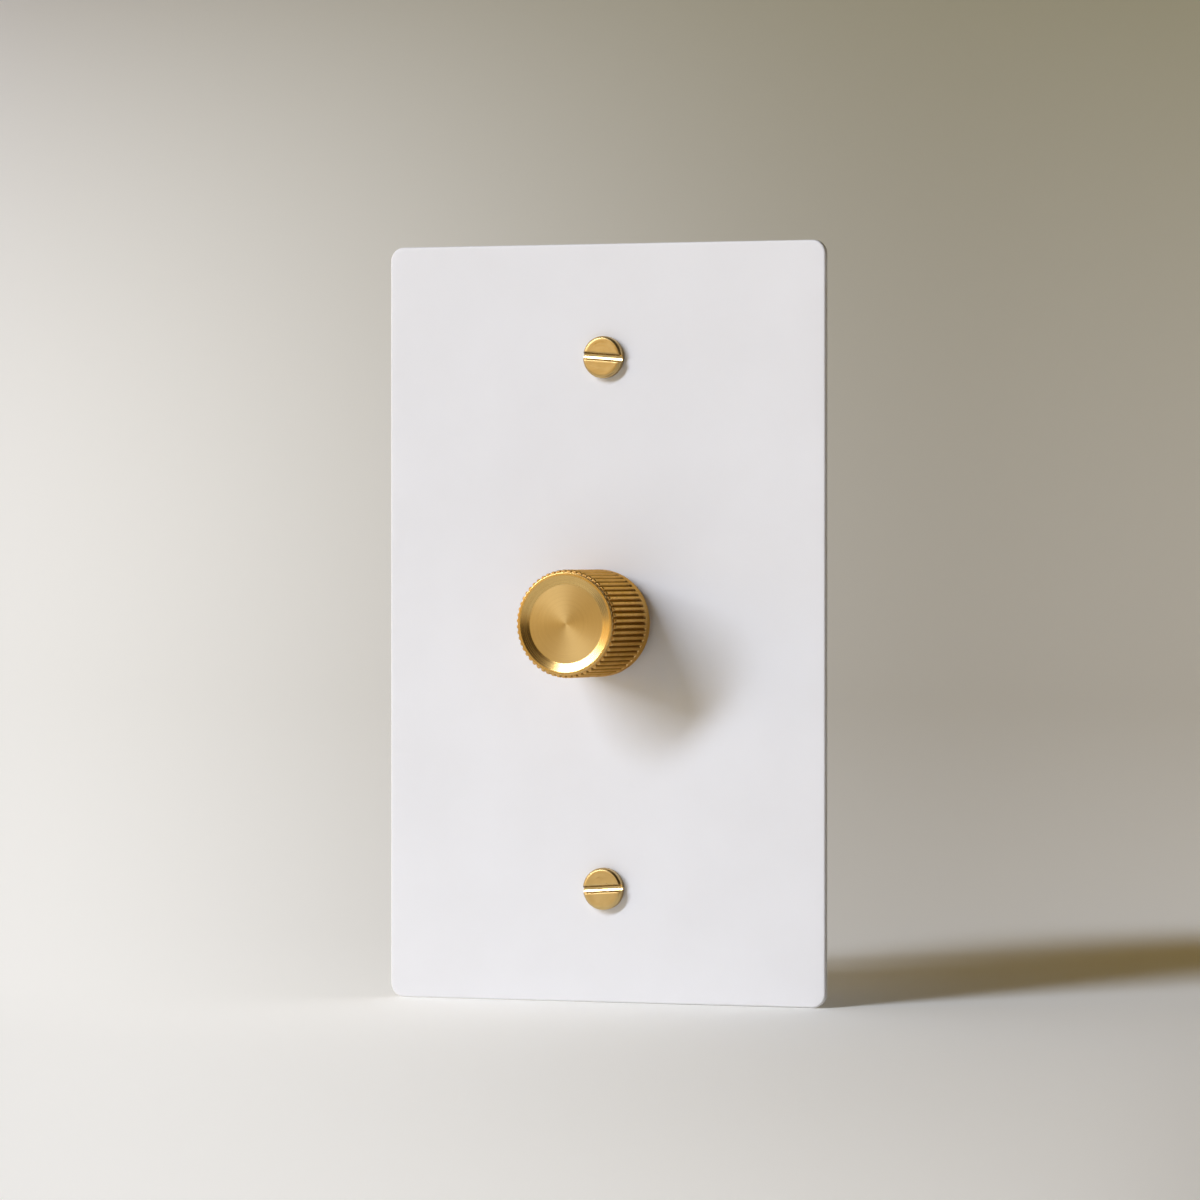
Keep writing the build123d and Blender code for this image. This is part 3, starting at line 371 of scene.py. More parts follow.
@dataclass(frozen=True)
class Spun(Finish):
    """Brass faced on a lathe: rings of fine marks that stretch the light across them."""

    smooth: float = 0.2
    rough: float = 0.34
    pull: float = 0.8
    ring_pitch: float = 0.22
    mark_depth: float = 0.002
    mark_share: float = 0.8
    fade_scale: float = 40.0
    cloud_scale: float = 260.0
    ring_share: float = 0.7
    ring_margin: float = 0.25

    def paint(self, graph: Graph) -> None:
        """Read rings from the length along the profile, and let them fade in and out around the axis.

        Args:
            graph: Node tree to fill.
        """
        source = graph.add("ShaderNodeUVMap")
        source.uv_map = TURNED_MAP
        along = graph.split(source.outputs["UV"])[0]
        east, _, north = graph.split(graph.place())
        ring_place = graph.gather(
            graph.times(along, 1.0 / self.ring_pitch),
            graph.times(east, self.fade_scale),
            graph.times(north, self.fade_scale),
        )
        rings = graph.noise(ring_place, 1.0, detail=3.0)
        clouds = graph.noise(graph.place(), self.cloud_scale, detail=3.0)
        tangent = graph.add("ShaderNodeTangent")
        tangent.direction_type = "UV_MAP"
        tangent.uv_map = TURNED_MAP
        graph.set(
            Base_Color=self.tone(graph, graph.weigh(rings, clouds, self.ring_share)),
            Metallic=1.0,
            Roughness=graph.spread(rings, self.smooth, self.rough, self.ring_margin),
            Anisotropic=self.pull,
            Tangent=tangent.outputs["Tangent"],
        )
        graph.relief(rings, self.mark_depth, self.mark_share)


@dataclass(frozen=True)
class Fluted(Finish):
    """Brass side of the knob: golden ridges, with painted shade that darkens the flutes to brown by
    their depth.
    """

    painted_shade: Colour = (0.2, 0.108, 0.028)
    edge_tint: Colour = (0.85, 0.60, 0.30)
    smooth: float = 0.26
    rough: float = 0.36
    hollow_rough: float = 0.14
    streak: float = 0.12
    streak_lay: Colour = (1.0, 0.08, 1.0)
    streak_depth: float = 0.003
    streak_share: float = 0.7
    groove_ends: tuple[float, float] = (0.1, 0.9)
    cloud_scale: float = 420.0

    def paint(self, graph: Graph) -> None:
        """Paint shade that darkens by the depth of the flute, and draw fine streaks along the knob's
        axis.

        Args:
            graph: Node tree to fill.
        """
        # The groove's depth paints shade: the colour goes to dark brown in the flutes, which are also
        # made rougher
        groove = graph.span(graph.groove(), *self.groove_ends, 0.0, 1.0)
        streaks = graph.noise(graph.stretch(graph.place(), self.streak_lay), 1.0 / (self.streak * MM))
        clouds = graph.noise(graph.place(), self.cloud_scale, detail=3.0)
        satin = graph.spread(streaks, self.smooth, self.rough)
        graph.set(
            Base_Color=graph.mix(groove, self.tone(graph, clouds), self.painted_shade),
            Metallic=1.0,
            Specular_Tint=(*self.edge_tint, 1.0),
            Roughness=graph.plus(satin, graph.times(groove, self.hollow_rough)),
        )
        graph.relief(streaks, self.streak_depth, self.streak_share)


@dataclass(frozen=True)
class Faced(Finish):
    """Brass of the plate screws: turning rings around each of the two axes, and a satin side."""

    screw_height: float = SCREW_HEIGHT
    painted_shade: Colour = (0.05, 0.025, 0.006)
    smooth: float = 0.26
    rough: float = 0.4
    slot_polish: float = 0.1
    ring_pitch: float = 0.25
    ring_margin: float = 0.25
    fade_scale: float = 260.0
    cloud_scale: float = 700.0
    side_scale: float = 900.0
    side_squeeze: float = 8.0
    side_share: float = 0.5
    grain_scale: float = 5200.0
    grain_share: float = 0.4
    slot_ends: tuple[float, float] = (0.0, 0.3)
    wall_ends: tuple[float, float] = (0.4, 0.9)
    mark_depth: float = 0.003
    mark_share: float = 0.8

    def paint(self, graph: Graph) -> None:
        """Fold the upper and lower screw onto one axis and read rings from the distance to it.

        The groove is 0 on the head, a third in the slot and 1 on its upper wall: the slot is smoother
        and has no marks, and the upper wall is painted dark brown as painted shade.

        Args:
            graph: Node tree to fill.
        """
        groove = graph.groove()
        # Share of painted shade: none on the head and in the slot, full on the slot's upper wall
        wall_shade = graph.span(groove, *self.wall_ends, 0.0, 1.0)
        smoothed = graph.span(groove, *self.slot_ends, 0.0, self.slot_polish)
        calm = graph.span(groove, *self.slot_ends, 1.0, 0.0)
        place = graph.place()
        east, depth, north = graph.split(place)
        lift = graph.minus(graph.math("ABSOLUTE", north), self.screw_height * MM)
        reach = graph.math("SQRT", graph.plus(graph.times(east, east), graph.times(lift, lift)))
        ring_place = graph.gather(
            graph.times(reach, 1.0 / (self.ring_pitch * MM)),
            graph.times(east, self.fade_scale),
            graph.times(north, self.fade_scale),
        )
        rings = graph.noise(ring_place, 1.0, detail=3.0)
        clouds = graph.noise(place, self.cloud_scale, detail=3.0)
        sides = graph.noise(graph.stretch(place, (1.0, self.side_squeeze, 1.0)), self.side_scale)
        satin = graph.spread(rings, self.smooth, self.rough, self.ring_margin)
        graph.set(
            Base_Color=graph.mix(wall_shade, self.tone(graph, clouds), self.painted_shade),
            Metallic=1.0,
            Roughness=graph.minus(satin, smoothed),
        )
        grain = graph.times(graph.noise(place, self.grain_scale), self.grain_share)
        marks = graph.plus(graph.plus(rings, grain), graph.times(sides, self.side_share))
        graph.relief(graph.times(marks, calm), self.mark_depth, self.mark_share)


@dataclass(frozen=True)
class Metal(Finish):
    """Sheet, plated or drawn metal with fine marks along its lay."""

    smooth: float = 0.24
    rough: float = 0.42
    mark: float = 0.25
    lay: Lay = Lay.CLOUDED
    mark_depth: float = 0.0015
    mark_share: float = 0.6
    cloud_scale: float = 180.0

    def paint(self, graph: Graph) -> None:
        """Draw marks of the given size along the lay, under wider clouds of tone.

        Args:
            graph: Node tree to fill.
        """
        place = graph.place()
        marks = graph.noise(graph.stretch(place, self.lay.value), 1.0 / (self.mark * MM), detail=3.0)
        clouds = graph.noise(place, self.cloud_scale, detail=3.0)
        graph.set(
            Base_Color=self.tone(graph, clouds),
            Metallic=1.0,
            Roughness=graph.spread(marks, self.smooth, self.rough),
        )
        graph.relief(marks, self.mark_depth, self.mark_share)


@dataclass(frozen=True)
class Moulding(Finish):
    """Moulded or lacquered piece with a fine eroded grain."""

    smooth: float = 0.38
    rough: float = 0.52
    grain: float = 0.3
    grain_depth: float = 0.008
    grain_share: float = 0.6
    cloud_scale: float = 120.0

    def paint(self, graph: Graph) -> None:
        """Lay a grain of the given size and let the tone drift slowly.

        Args:
            graph: Node tree to fill.
        """
        place = graph.place()
        grain = graph.noise(place, 1.0 / (self.grain * MM), detail=3.0)
        clouds = graph.noise(place, self.cloud_scale, detail=3.0)
        graph.set(
            Base_Color=self.tone(graph, clouds),
            Roughness=graph.spread(grain, self.smooth, self.rough),
        )
        graph.relief(grain, self.grain_depth, self.grain_share)


@dataclass(frozen=True)
class Woven(Finish):
    """Fibre laminate: a plain weave that shows faintly through the resin."""

    smooth: float = 0.32
    rough: float = 0.44
    yarn: float = 0.5
    weave_depth: float = 0.01
    weave_share: float = 0.5
    resin_scale: float = 900.0

    def paint(self, graph: Graph) -> None:
        """Cross two sine waves of the yarn's pitch, one along X and one along Z.

        Args:
            graph: Node tree to fill.
        """
        place = graph.place()
        east, _, north = graph.split(place)
        turns = math.tau / (self.yarn * MM)
        across = graph.math("SINE", graph.times(east, turns))
        upward = graph.math("SINE", graph.times(north, turns))
        weave = graph.span(graph.times(across, upward), -1.0, 1.0, 0.0, 1.0)
        graph.set(
            Base_Color=graph.mix(weave, self.colour, self.drift),
            Roughness=graph.spread(graph.noise(place, self.resin_scale), self.smooth, self.rough),
        )
        graph.relief(weave, self.weave_depth, self.weave_share)


@dataclass(frozen=True)
class Wound(Finish):
    """Enamelled wire in close turns around the choke's core."""

    smooth: float = 0.22
    rough: float = 0.34
    wire: float = 0.5
    wire_depth: float = 0.12
    wire_share: float = 0.9
    enamel_scale: float = 900.0

    def paint(self, graph: Graph) -> None:
        """Take the absolute sine of the place along the core, so that each turn is one round hump.

        Args:
            graph: Node tree to fill.
        """
        place = graph.place()
        along = graph.split(place)[1]
        wave = graph.math("SINE", graph.times(along, math.pi / (self.wire * MM)))
        turns = graph.math("ABSOLUTE", wave)
        # The colour is painted darker in the valleys between the turns: painted shade
        graph.set(
            Base_Color=graph.mix(turns, self.drift, self.colour),
            Metallic=1.0,
            Roughness=graph.spread(graph.noise(place, self.enamel_scale), self.smooth, self.rough),
        )
        graph.relief(turns, self.wire_depth, self.wire_share)


@dataclass(frozen=True)
class WashedPaper(Finish):
    """Seamless paper under a wash of light that fades from the left to the right and upwards.

    The first colour is the paper on the left, kept lower where the painted glow makes up the light, and
    the drift is the paper on the right, both near the floor. Upper and upper right are the paper higher
    up, darker and olive to the right as painted shade. The glow is painted light that the paper gives
    off. Places and heights are metres.
    """

    fan_point: tuple[float, float] = (0.45, -1.07)
    fan_turn: float = 23.0
    fan_reach: float = 0.085
    fan_start: float = 0.3
    low: float = -0.06
    high: float = 0.30
    lower_bend: float = 0.6
    upper_bend: float = 0.52
    upper: Colour = (0.72, 0.715, 0.715)
    upper_right: Colour = (0.46, 0.45, 0.295)
    front: Colour = (0.84, 0.62, 0.27)
    front_ends: tuple[float, float] = (-0.8, -0.45)
    glow_colour: Colour = (0.85, 0.845, 0.835)
    glow: float = 0.8
    glow_in_front: float = 0.92
    glow_rise: tuple[float, float] = (-2.4, -1.4)
    glow_fall: tuple[float, float] = (-1.4, 0.7)
    foot_ends: tuple[float, float] = (-0.07, 0.0)
    floor_glow: float = 0.21
    floor_ends: tuple[float, float] = (-0.25, 0.1)
    smooth: float = 0.72
    rough: float = 0.82
    grain_scale: float = 900.0
    grain_depth: float = 0.01
    grain_share: float = 0.5

    def fan(self, graph: Graph, east: object, ahead: object) -> bpy.types.NodeSocket:
        """Give how far to the right a place lies, seen from a fixed point in front of the set.

        With the place turned about that point, it is the distance across over the distance away.

        Args:
            graph: Node tree to fill.
            east: Place along X.
            ahead: Place along Y.

        Returns:
            The slope, 0 straight ahead and negative on the left.
        """
        turn = math.radians(self.fan_turn)
        aside = graph.minus(east, self.fan_point[0])
        beyond = graph.minus(ahead, self.fan_point[1])
        across = graph.plus(graph.times(aside, math.cos(turn)), graph.times(beyond, math.sin(turn)))
        away = graph.minus(graph.times(beyond, math.cos(turn)), graph.times(aside, math.sin(turn)))
        return graph.math("DIVIDE", across, graph.math("MAXIMUM", away, self.fan_start))

    def wash(
        self, graph: Graph, slope: object, rightward: object, upward: object
    ) -> bpy.types.NodeSocket:
        """Give the strength of the paper's glow, which is painted light: a broad one on the left, and
        one on the floor at the right.

        The left one rises and falls with the slope and fades by the square of the height. The right
        one is r^2 (1 - r) of the share r to the right, brought to a height of 1 by 27/4.

        Args:
            graph: Node tree to fill.
            slope: Slope of the fan.
            rightward: Share of the way to the right.
            upward: Share of the way up.

        Returns:
            The strength.
        """
        ahead = graph.split(graph.place())[1]
        fall_start, fall_end = (self.fan_reach * end for end in self.glow_fall)
        rise_start, rise_end = (self.fan_reach * end for end in self.glow_rise)
        fall = graph.span(slope, fall_start, fall_end, 1.0, 0.0, "SMOOTHSTEP")
        rise = graph.span(slope, rise_start, rise_end, 0.0, 1.0)
        fade = graph.minus(1.0, graph.times(upward, upward))
        leftward = graph.times(graph.times(fall, rise), fade)
        strength = graph.span(ahead, *self.foot_ends, self.glow_in_front * self.glow, self.glow)
        hump = graph.times(graph.math("POWER", rightward, 2.0), graph.minus(1.0, rightward))
        near = graph.times(graph.span(ahead, *self.floor_ends, 27 / 4 * self.floor_glow, 0.0), hump)
        return graph.plus(graph.times(leftward, strength), near)

    def paint(self, graph: Graph) -> None:
        """Blend the paper's colours, which hold painted light and shade, by the slope of the fan and the
        height above the floor.

        Args:
            graph: Node tree to fill.
        """
        place = graph.place()
        east, ahead, up = graph.split(place)
        slope = self.fan(graph, east, ahead)
        rightward = graph.span(slope, -self.fan_reach, self.fan_reach, 0.0, 1.0)
        upward = graph.span(up, self.low, self.high, 0.0, 1.0)
        lower_share = graph.math("POWER", rightward, self.lower_bend)
        upper_share = graph.math("POWER", rightward, self.upper_bend)
        lower = graph.mix(lower_share, self.colour, self.drift)
        higher = graph.mix(upper_share, self.upper, self.upper_right)
        in_front = graph.span(ahead, *self.front_ends, 1.0, 0.0)
        grain = graph.noise(place, self.grain_scale)
        # Base colour and glow are painted light and shade: lit on the left, shaded to the right and
        # upwards
        graph.set(
            Base_Color=graph.mix(in_front, graph.mix(upward, lower, higher), self.front),
            Roughness=graph.spread(grain, self.smooth, self.rough),
            Emission_Color=(*self.glow_colour, 1.0),
            Emission_Strength=self.wash(graph, slope, rightward, upward),
        )
        graph.relief(grain, self.grain_depth, self.grain_share)


@dataclass
class Shell:
    """Closed form made of rings of points, drawn together to one point at each end.

    The points are an array of rings by steps around by three, the bands give the material slot
    between two rings, the lengths run along the profile, and the groove is a depth from 0 to 1.
    """

    points: np.ndarray
    bands: np.ndarray
    lengths: np.ndarray
    groove: np.ndarray

    def closed_points(self) -> np.ndarray:
        """Give the points of all rings, followed by the middles of the first and the last ring."""
        ends = [self.points[0].mean(0), self.points[-1].mean(0)]
        return np.concatenate([self.points.reshape(-1, 3), ends])

    def faces(self) -> tuple[list[np.ndarray], list[np.ndarray]]:
        """Join neighbouring rings by quads and each end ring by triangles to its middle.

        The map's U is the length along the profile in millimetres and V the share of a turn. A shell
        whose signed volume, the sum of v0 . (v1 x v2) / 6, is negative has its faces turned round.

        Returns:
            Corners of the quads and of the triangles at the two ends, and the map of each.
        """
        rings, around, _ = self.points.shape
        row = np.arange(rings - 1)[:, None] * around
        beyond = row + around
        here = np.arange(around)[None, :]
        there = (here + 1) % around
        quads = np.stack([row + here, row + there, beyond + there, beyond + here], -1).reshape(-1, 4)
        last = (rings - 1) * around
        first_pole = np.full(around, rings * around)
        fan_in = np.stack([first_pole, there[0], here[0]], -1)
        fan_out = np.stack([first_pole + 1, last + here[0], last + there[0]], -1)
        low, high = self.lengths[:-1, None] + 0 * here, self.lengths[1:, None] + 0 * here
        left, right = here / around + 0 * low, (here + 1) / around + 0 * low
        quad_map = np.stack([low, left, low, right, high, right, high, left], -1)
        tip_in = self.lengths[0] + 0 * here[0]
        tip_out = self.lengths[-1] + 0 * here[0]
        middle = 0.5 * (left[0] + right[0])
        fan_in_map = np.stack([tip_in - POLE_STEP, middle, tip_in, right[0], tip_in, left[0]], -1)
        fan_out_map = np.stack([tip_out + POLE_STEP, middle, tip_out, left[0], tip_out, right[0]], -1)
        triangles = np.concatenate([quads[:, :3], quads[:, [0, 2, 3]], fan_in, fan_out])
        a, b, c = self.closed_points()[triangles.T]
        turn = 1 if np.sum(a * np.cross(b, c)) > 0 else -1
        corners = [part[:, ::turn] for part in (quads, fan_in, fan_out)]
        maps = [
            part.reshape(-1, sides, 2)[:, ::turn]
            for part, sides in ((quad_map, 4), (fan_in_map, 3), (fan_out_map, 3))
        ]
        return corners, maps


def plain_shell(points: np.ndarray) -> Shell:
    """Make a shell with one material and no grooves.

    Args:
        points: Array of rings by steps around by three.

    Returns:
        The shell, with its lengths measured along the first line of points.
    """
    rings, around, _ = points.shape
    steps = np.linalg.norm(np.diff(points[:, 0], axis=0), axis=1)
    lengths = np.concatenate([[0.0], np.cumsum(steps)]) / MM
    return Shell(points, np.zeros(rings - 1, int), lengths, np.zeros((rings, around)))


def round_corners(corners: np.ndarray, radii: np.ndarray, steps: int) -> np.ndarray:
    """Round the corners of a line: each gets the parabola that touches both of its sides.

    A corner P between neighbours A and B starts its curve at a distance t from P towards A and
    ends it as far towards B, with t = r / tan(half the angle at P). The curve between is
    (1-s)^2 start + 2s(1-s) P + s^2 end.

    Args:
        corners: Array of points by two.
        radii: Radius at each point; the two ends are kept as they are.
        steps: Number of points on each curve.

    Returns:
        The rounded line, without points that fall together.
    """
    inner = corners[1:-1]
    before = corners[:-2] - inner
    after = corners[2:] - inner
    before = before / np.linalg.norm(before, axis=1, keepdims=True)
    after = after / np.linalg.norm(after, axis=1, keepdims=True)
    half = 0.5 * np.arccos(np.clip(np.sum(before * after, axis=1), -1.0, 1.0))
    reach = (radii[1:-1] / np.tan(half))[:, None]
    start = inner + before * reach
    end = inner + after * reach
    s = np.linspace(0.0, 1.0, steps)[None, :, None]
    curve = (1 - s) ** 2 * start[:, None] + 2 * s * (1 - s) * inner[:, None] + s**2 * end[:, None]
    line = np.concatenate([corners[:1], curve.reshape(-1, 2), corners[-1:]])
    apart = np.linalg.norm(np.diff(line, axis=0), axis=1) > 1e-6
    return line[np.concatenate([[True], apart])]


def add_piece(name: str, mesh: bpy.types.Mesh) -> bpy.types.Object:
    """Make a smooth object of a mesh that has its place in itself.

    Args:
        name: Name of the object.
        mesh: Its mesh.

    Returns:
        The new object, linked to the scene.
    """
    mesh.polygons.foreach_set("use_smooth", np.ones(len(mesh.polygons), bool))
    piece = bpy.data.objects.new(name, mesh)
    bpy.context.scene.collection.objects.link(piece)
    LOG.info("%s: %d points, %d faces", name, len(mesh.vertices), len(mesh.polygons))
    return piece


def put_shells(name: str, shells: list[Shell], finishes: list[bpy.types.Material]) -> bpy.types.Object:
    """Put closed shells into one mesh object with its place in its mesh.

    Args:
        name: Name of the object.
        shells: Closed forms that it holds.
        finishes: Materials, in the order of the shells' bands.

    Returns:
        The new object, linked to the scene.
    """
    verts, corners, counts, maps, slots, grooves = [], [], [], [], [], []
    base = 0
    for shell in shells:
        points = shell.closed_points()
        for faces, face_map in zip(*shell.faces()):
            corners.append((faces + base).ravel())
            maps.append(face_map.reshape(-1, 2))
            counts.append(np.full(len(faces), faces.shape[1]))
        bands = np.concatenate([shell.bands, shell.bands[:1], shell.bands[-1:]])
        slots.append(np.repeat(bands, shell.points.shape[1]))
        grooves.append(np.concatenate([shell.groove.ravel(), [0.0, 0.0]]))
        verts.append(points)
        base += len(points)
    mesh = bpy.data.meshes.new(name)
    points = np.concatenate(verts)
    order = np.concatenate(corners)
    sizes = np.concatenate(counts)
    mesh.vertices.add(len(points))
    mesh.vertices.foreach_set("co", points.astype(np.float32).ravel())
    mesh.loops.add(len(order))
    mesh.loops.foreach_set("vertex_index", order.astype(np.int32))
    mesh.polygons.add(len(sizes))
    mesh.polygons.foreach_set("loop_start", (np.cumsum(sizes) - sizes).astype(np.int32))
    mesh.update(calc_edges=True)
    mesh.polygons.foreach_set("material_index", np.concatenate(slots).astype(np.int32))
    turned = mesh.uv_layers.new(name=TURNED_MAP)
    turned.uv.foreach_set("vector", np.concatenate(maps).astype(np.float32).ravel())
    depth = mesh.attributes.new(GROOVE, "FLOAT", "POINT")
    depth.data.foreach_set("value", np.concatenate(grooves).astype(np.float32))
    for finish in finishes:
        mesh.materials.append(finish)
    mesh.validate()
    return add_piece(name, mesh)


def turn_about_axis(profile: np.ndarray, around: int) -> tuple[np.ndarray, np.ndarray]:
    """Spread a profile of radius and depth around the knob's axis.

    Args:
        profile: Array of points by two, radius first and place along Y second.
        around: Number of steps in a full turn.

    Returns:
        Radius for each ring and step, and the angle of each step from +X towards +Z.
    """
    angle = np.arange(around) * math.tau / around
    radius = np.repeat(profile[:, :1], around, axis=1)
    return radius, angle


def lathe_points(radius: np.ndarray, depth: np.ndarray, angle: np.ndarray) -> np.ndarray:
    """Give the points (r cos a, y, r sin a) of a turned form whose axis is Y.

    Args:
        radius: Array of rings by steps around.
        depth: Place along Y for each ring.
        angle: Angle of each step.

    Returns:
        Array of rings by steps by three, in the unit of the radius.
    """
    east = radius * np.cos(angle)
    north = radius * np.sin(angle)
    return np.stack([east, depth[:, None] + 0 * radius, north], -1)


def put_bands(name: str, bands: list[np.ndarray], finish: bpy.types.Material) -> bpy.types.Object:
    """Put closed bands of rings into one mesh and join the points that fall together.

    Each band is an array of rings by steps around by three. The cross product of the way along
    the rings and the way around them points outwards.

    Args:
        name: Name of the object.
        bands: Bands whose edges meet each other.
        finish: Material of the whole piece.

    Returns:
        The new object, linked to the scene.
    """
    faces, base = [], 0
    for band in bands:
        rings, around, _ = band.shape
        row = np.arange(rings - 1)[:, None] * around + base
        here = np.arange(around)[None, :]
        there = (here + 1) % around
        beyond = row + around
        quads = np.stack([row + here, beyond + here, beyond + there, row + there], -1)
        faces.append(quads.reshape(-1, 4))
        base += rings * around
    points = np.concatenate([band.reshape(-1, 3) for band in bands])
    places = np.round(points / (JOIN_GRID * MM)).astype(np.int64)
    _, first, joined = np.unique(places, axis=0, return_index=True, return_inverse=True)
    quads = joined.reshape(-1)[np.concatenate(faces)]
    mesh = bpy.data.meshes.new(name)
    mesh.from_pydata(points[first].tolist(), [], quads.tolist())
    mesh.materials.append(finish)
    mesh.validate()
    return add_piece(name, mesh)


@dataclass
class FacePlate:
    """Flat coated plate with rounded corners, a soft rim and three holes."""

    coat: Finish
    corner_radius: float = 2.2
    rim_radius: float = 0.3
    back_edge: float = 0.08
    hole_edge: float = 0.12
    knob_hole_radius: float = 5.75
    screw_hole_radius: float = 2.05
    screw_height: float = SCREW_HEIGHT
    panel_line: float = 21.0
    side_steps: int = 8
    middle_steps: int = 14
    arc_steps: int = 16
    rim_steps: int = 9
    hole_steps: int = 6
    panel_shares: tuple[float, ...] = (0.0, 0.02, 0.3, 0.65, 0.97, 1.0)

    def walk(self, width: float, height: float) -> tuple[np.ndarray, np.ndarray]:
        """Walk once round the plate, from the lower right upwards.

        A stop is an anchor A and a unit direction N; the outline at inset d is A + (R - d) N, with R
        the corner radius. A straight side has one direction, and a corner one anchor. The second
        half of the walk is the first half turned by half a turn.

        Args:
            width: Width of the plate.
            height: Height of the plate.

        Returns:
            Anchors and directions, each an array of stops by two.
        """
        wide, tall = width / 2 - self.corner_radius, height / 2 - self.corner_radius
        heights = np.concatenate([
            np.linspace(-tall, -self.panel_line, self.side_steps + 1)[:-1],
            np.linspace(-self.panel_line, self.panel_line, self.middle_steps + 1)[:-1],
            np.linspace(self.panel_line, tall, self.side_steps + 1),
        ])
        widths = np.linspace(wide, -wide, self.middle_steps + 1)
        arc = np.linspace(0.0, 0.5 * math.pi, self.arc_steps + 1)[1:-1]
        anchors = np.concatenate([
            np.stack([np.full_like(heights, wide), heights], -1),
            np.full((len(arc), 2), (wide, tall)),
            np.stack([widths, np.full_like(widths, tall)], -1),
            np.full((len(arc), 2), (-wide, tall)),
        ])
        turn = np.concatenate([
            np.zeros_like(heights), arc, np.full_like(widths, 0.5 * math.pi), 0.5 * math.pi + arc,
        ])
        directions = np.stack([np.cos(turn), np.sin(turn)], -1)
        return np.concatenate([anchors, -anchors]), np.concatenate([directions, -directions])

    def borders(self, outline: np.ndarray) -> list[np.ndarray]:
        """Divide the plate into an upper, a middle and a lower panel, each around one hole.

        Args:
            outline: Stops of the walk at one inset.

        Returns:
            The border of each panel, anticlockwise seen from the front.
        """
        half = len(outline) // 2
        low, high = self.side_steps, self.side_steps + self.middle_steps
        reach = outline[high, 0]
        line = np.linspace(-reach, reach, self.middle_steps + 1)[1:-1]
        seam = np.stack([line, np.full_like(line, self.panel_line)], -1)
        upper = np.concatenate([outline[high:half + low + 1], seam])
        right, left = outline[low:high + 1], outline[half + low:half + high + 1]
        middle = np.concatenate([right, seam[::-1], left, -seam[::-1]])
        return [upper, middle, -upper]

    def panel(self, centre: float, radius: float, fronts: np.ndarray, backs: np.ndarray,
              front: float, back: float) -> np.ndarray:
        """Carry one panel from its border on the back, through its hole, to its border on the front.

        On both faces a point is H + s (B - H), with B on the border, H the point of the hole on the
        line from its centre to B, and s from 0 to 1. A quarter circle rounds the hole's front edge.

        Args:
            centre: Height of the hole.
            radius: Radius of the hole.
            fronts: Border on the front face.
            backs: Border on the back face.
            front: Place of the front face along Y.
            back: Place of the back face along Y.

        Returns:
            Array of rings by steps around by three.
        """
        middle = np.array([0.0, centre])
        ways = fronts - middle
        ways = ways / np.linalg.norm(ways, axis=1, keepdims=True)
        share = np.array(self.panel_shares)
        bend = np.linspace(0.0, 0.5 * math.pi, self.hole_steps)
        reach = np.concatenate([[radius], radius + self.hole_edge * (1 - np.cos(bend))])
        depth = np.concatenate([[back], front + self.hole_edge * (1 - np.sin(bend))])
        wall = middle + reach[:, None, None] * ways[None]
        behind = wall[:1] + share[::-1, None, None] * (backs - wall[:1])
        before = wall[-1:] + share[:, None, None] * (fronts - wall[-1:])
        flat = np.concatenate([behind, wall[1:-1], before])
        places = np.concatenate([np.full(len(share), back), depth[1:-1], np.full(len(share), front)])
        return np.stack([flat[..., 0], places[:, None] + 0 * flat[..., 0], flat[..., 1]], -1)

    def rim(self, anchors: np.ndarray, directions: np.ndarray, front: float, back: float) -> np.ndarray:
        """Carry the edge's section round the walk: a quarter circle, the side and a small back edge.

        Args:
            anchors: Anchors of the walk.
            directions: Directions of the walk.
            front: Place of the front face along Y.
            back: Place of the back face along Y.

        Returns:
            Array of rings by steps around by three.
        """
        bend = np.linspace(0.0, 0.5 * math.pi, self.rim_steps)
        inset = np.concatenate([self.rim_radius * (1 - np.sin(bend)), [0.0, self.back_edge]])
        curve = front + self.rim_radius * (1 - np.cos(bend))
        depth = np.concatenate([curve, [back - self.back_edge, back]])
        flat = anchors + (self.corner_radius - inset)[:, None, None] * directions
        return np.stack([flat[..., 0], depth[:, None] + 0 * flat[..., 0], flat[..., 1]], -1)

    def build(self) -> bpy.types.Object:
        """Work out the plate's surface, put it in place of the CAD plate and dress it.

        Returns:
            The plate's object.
        """
        low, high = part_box("face_plate")
        front, back = low.y / MM, high.y / MM
        anchors, directions = self.walk((high.x - low.x) / MM, (high.z - low.z) / MM)
        fronts = self.borders(anchors + (self.corner_radius - self.rim_radius) * directions)
        backs = self.borders(anchors + (self.corner_radius - self.back_edge) * directions)
        centres = (self.screw_height, 0.0, -self.screw_height)
        radii = (self.screw_hole_radius, self.knob_hole_radius, self.screw_hole_radius)
        bands = [
            self.panel(centre, radius, border, behind, front, back)
            for centre, radius, border, behind in zip(centres, radii, fronts, backs)
        ]
        bands.append(self.rim(anchors, directions, front, back))
        piece = put_bands("face_plate_coated", [band * MM for band in bands], self.coat.material())
        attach(piece, "base")
        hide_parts("face_plate")
        return piece


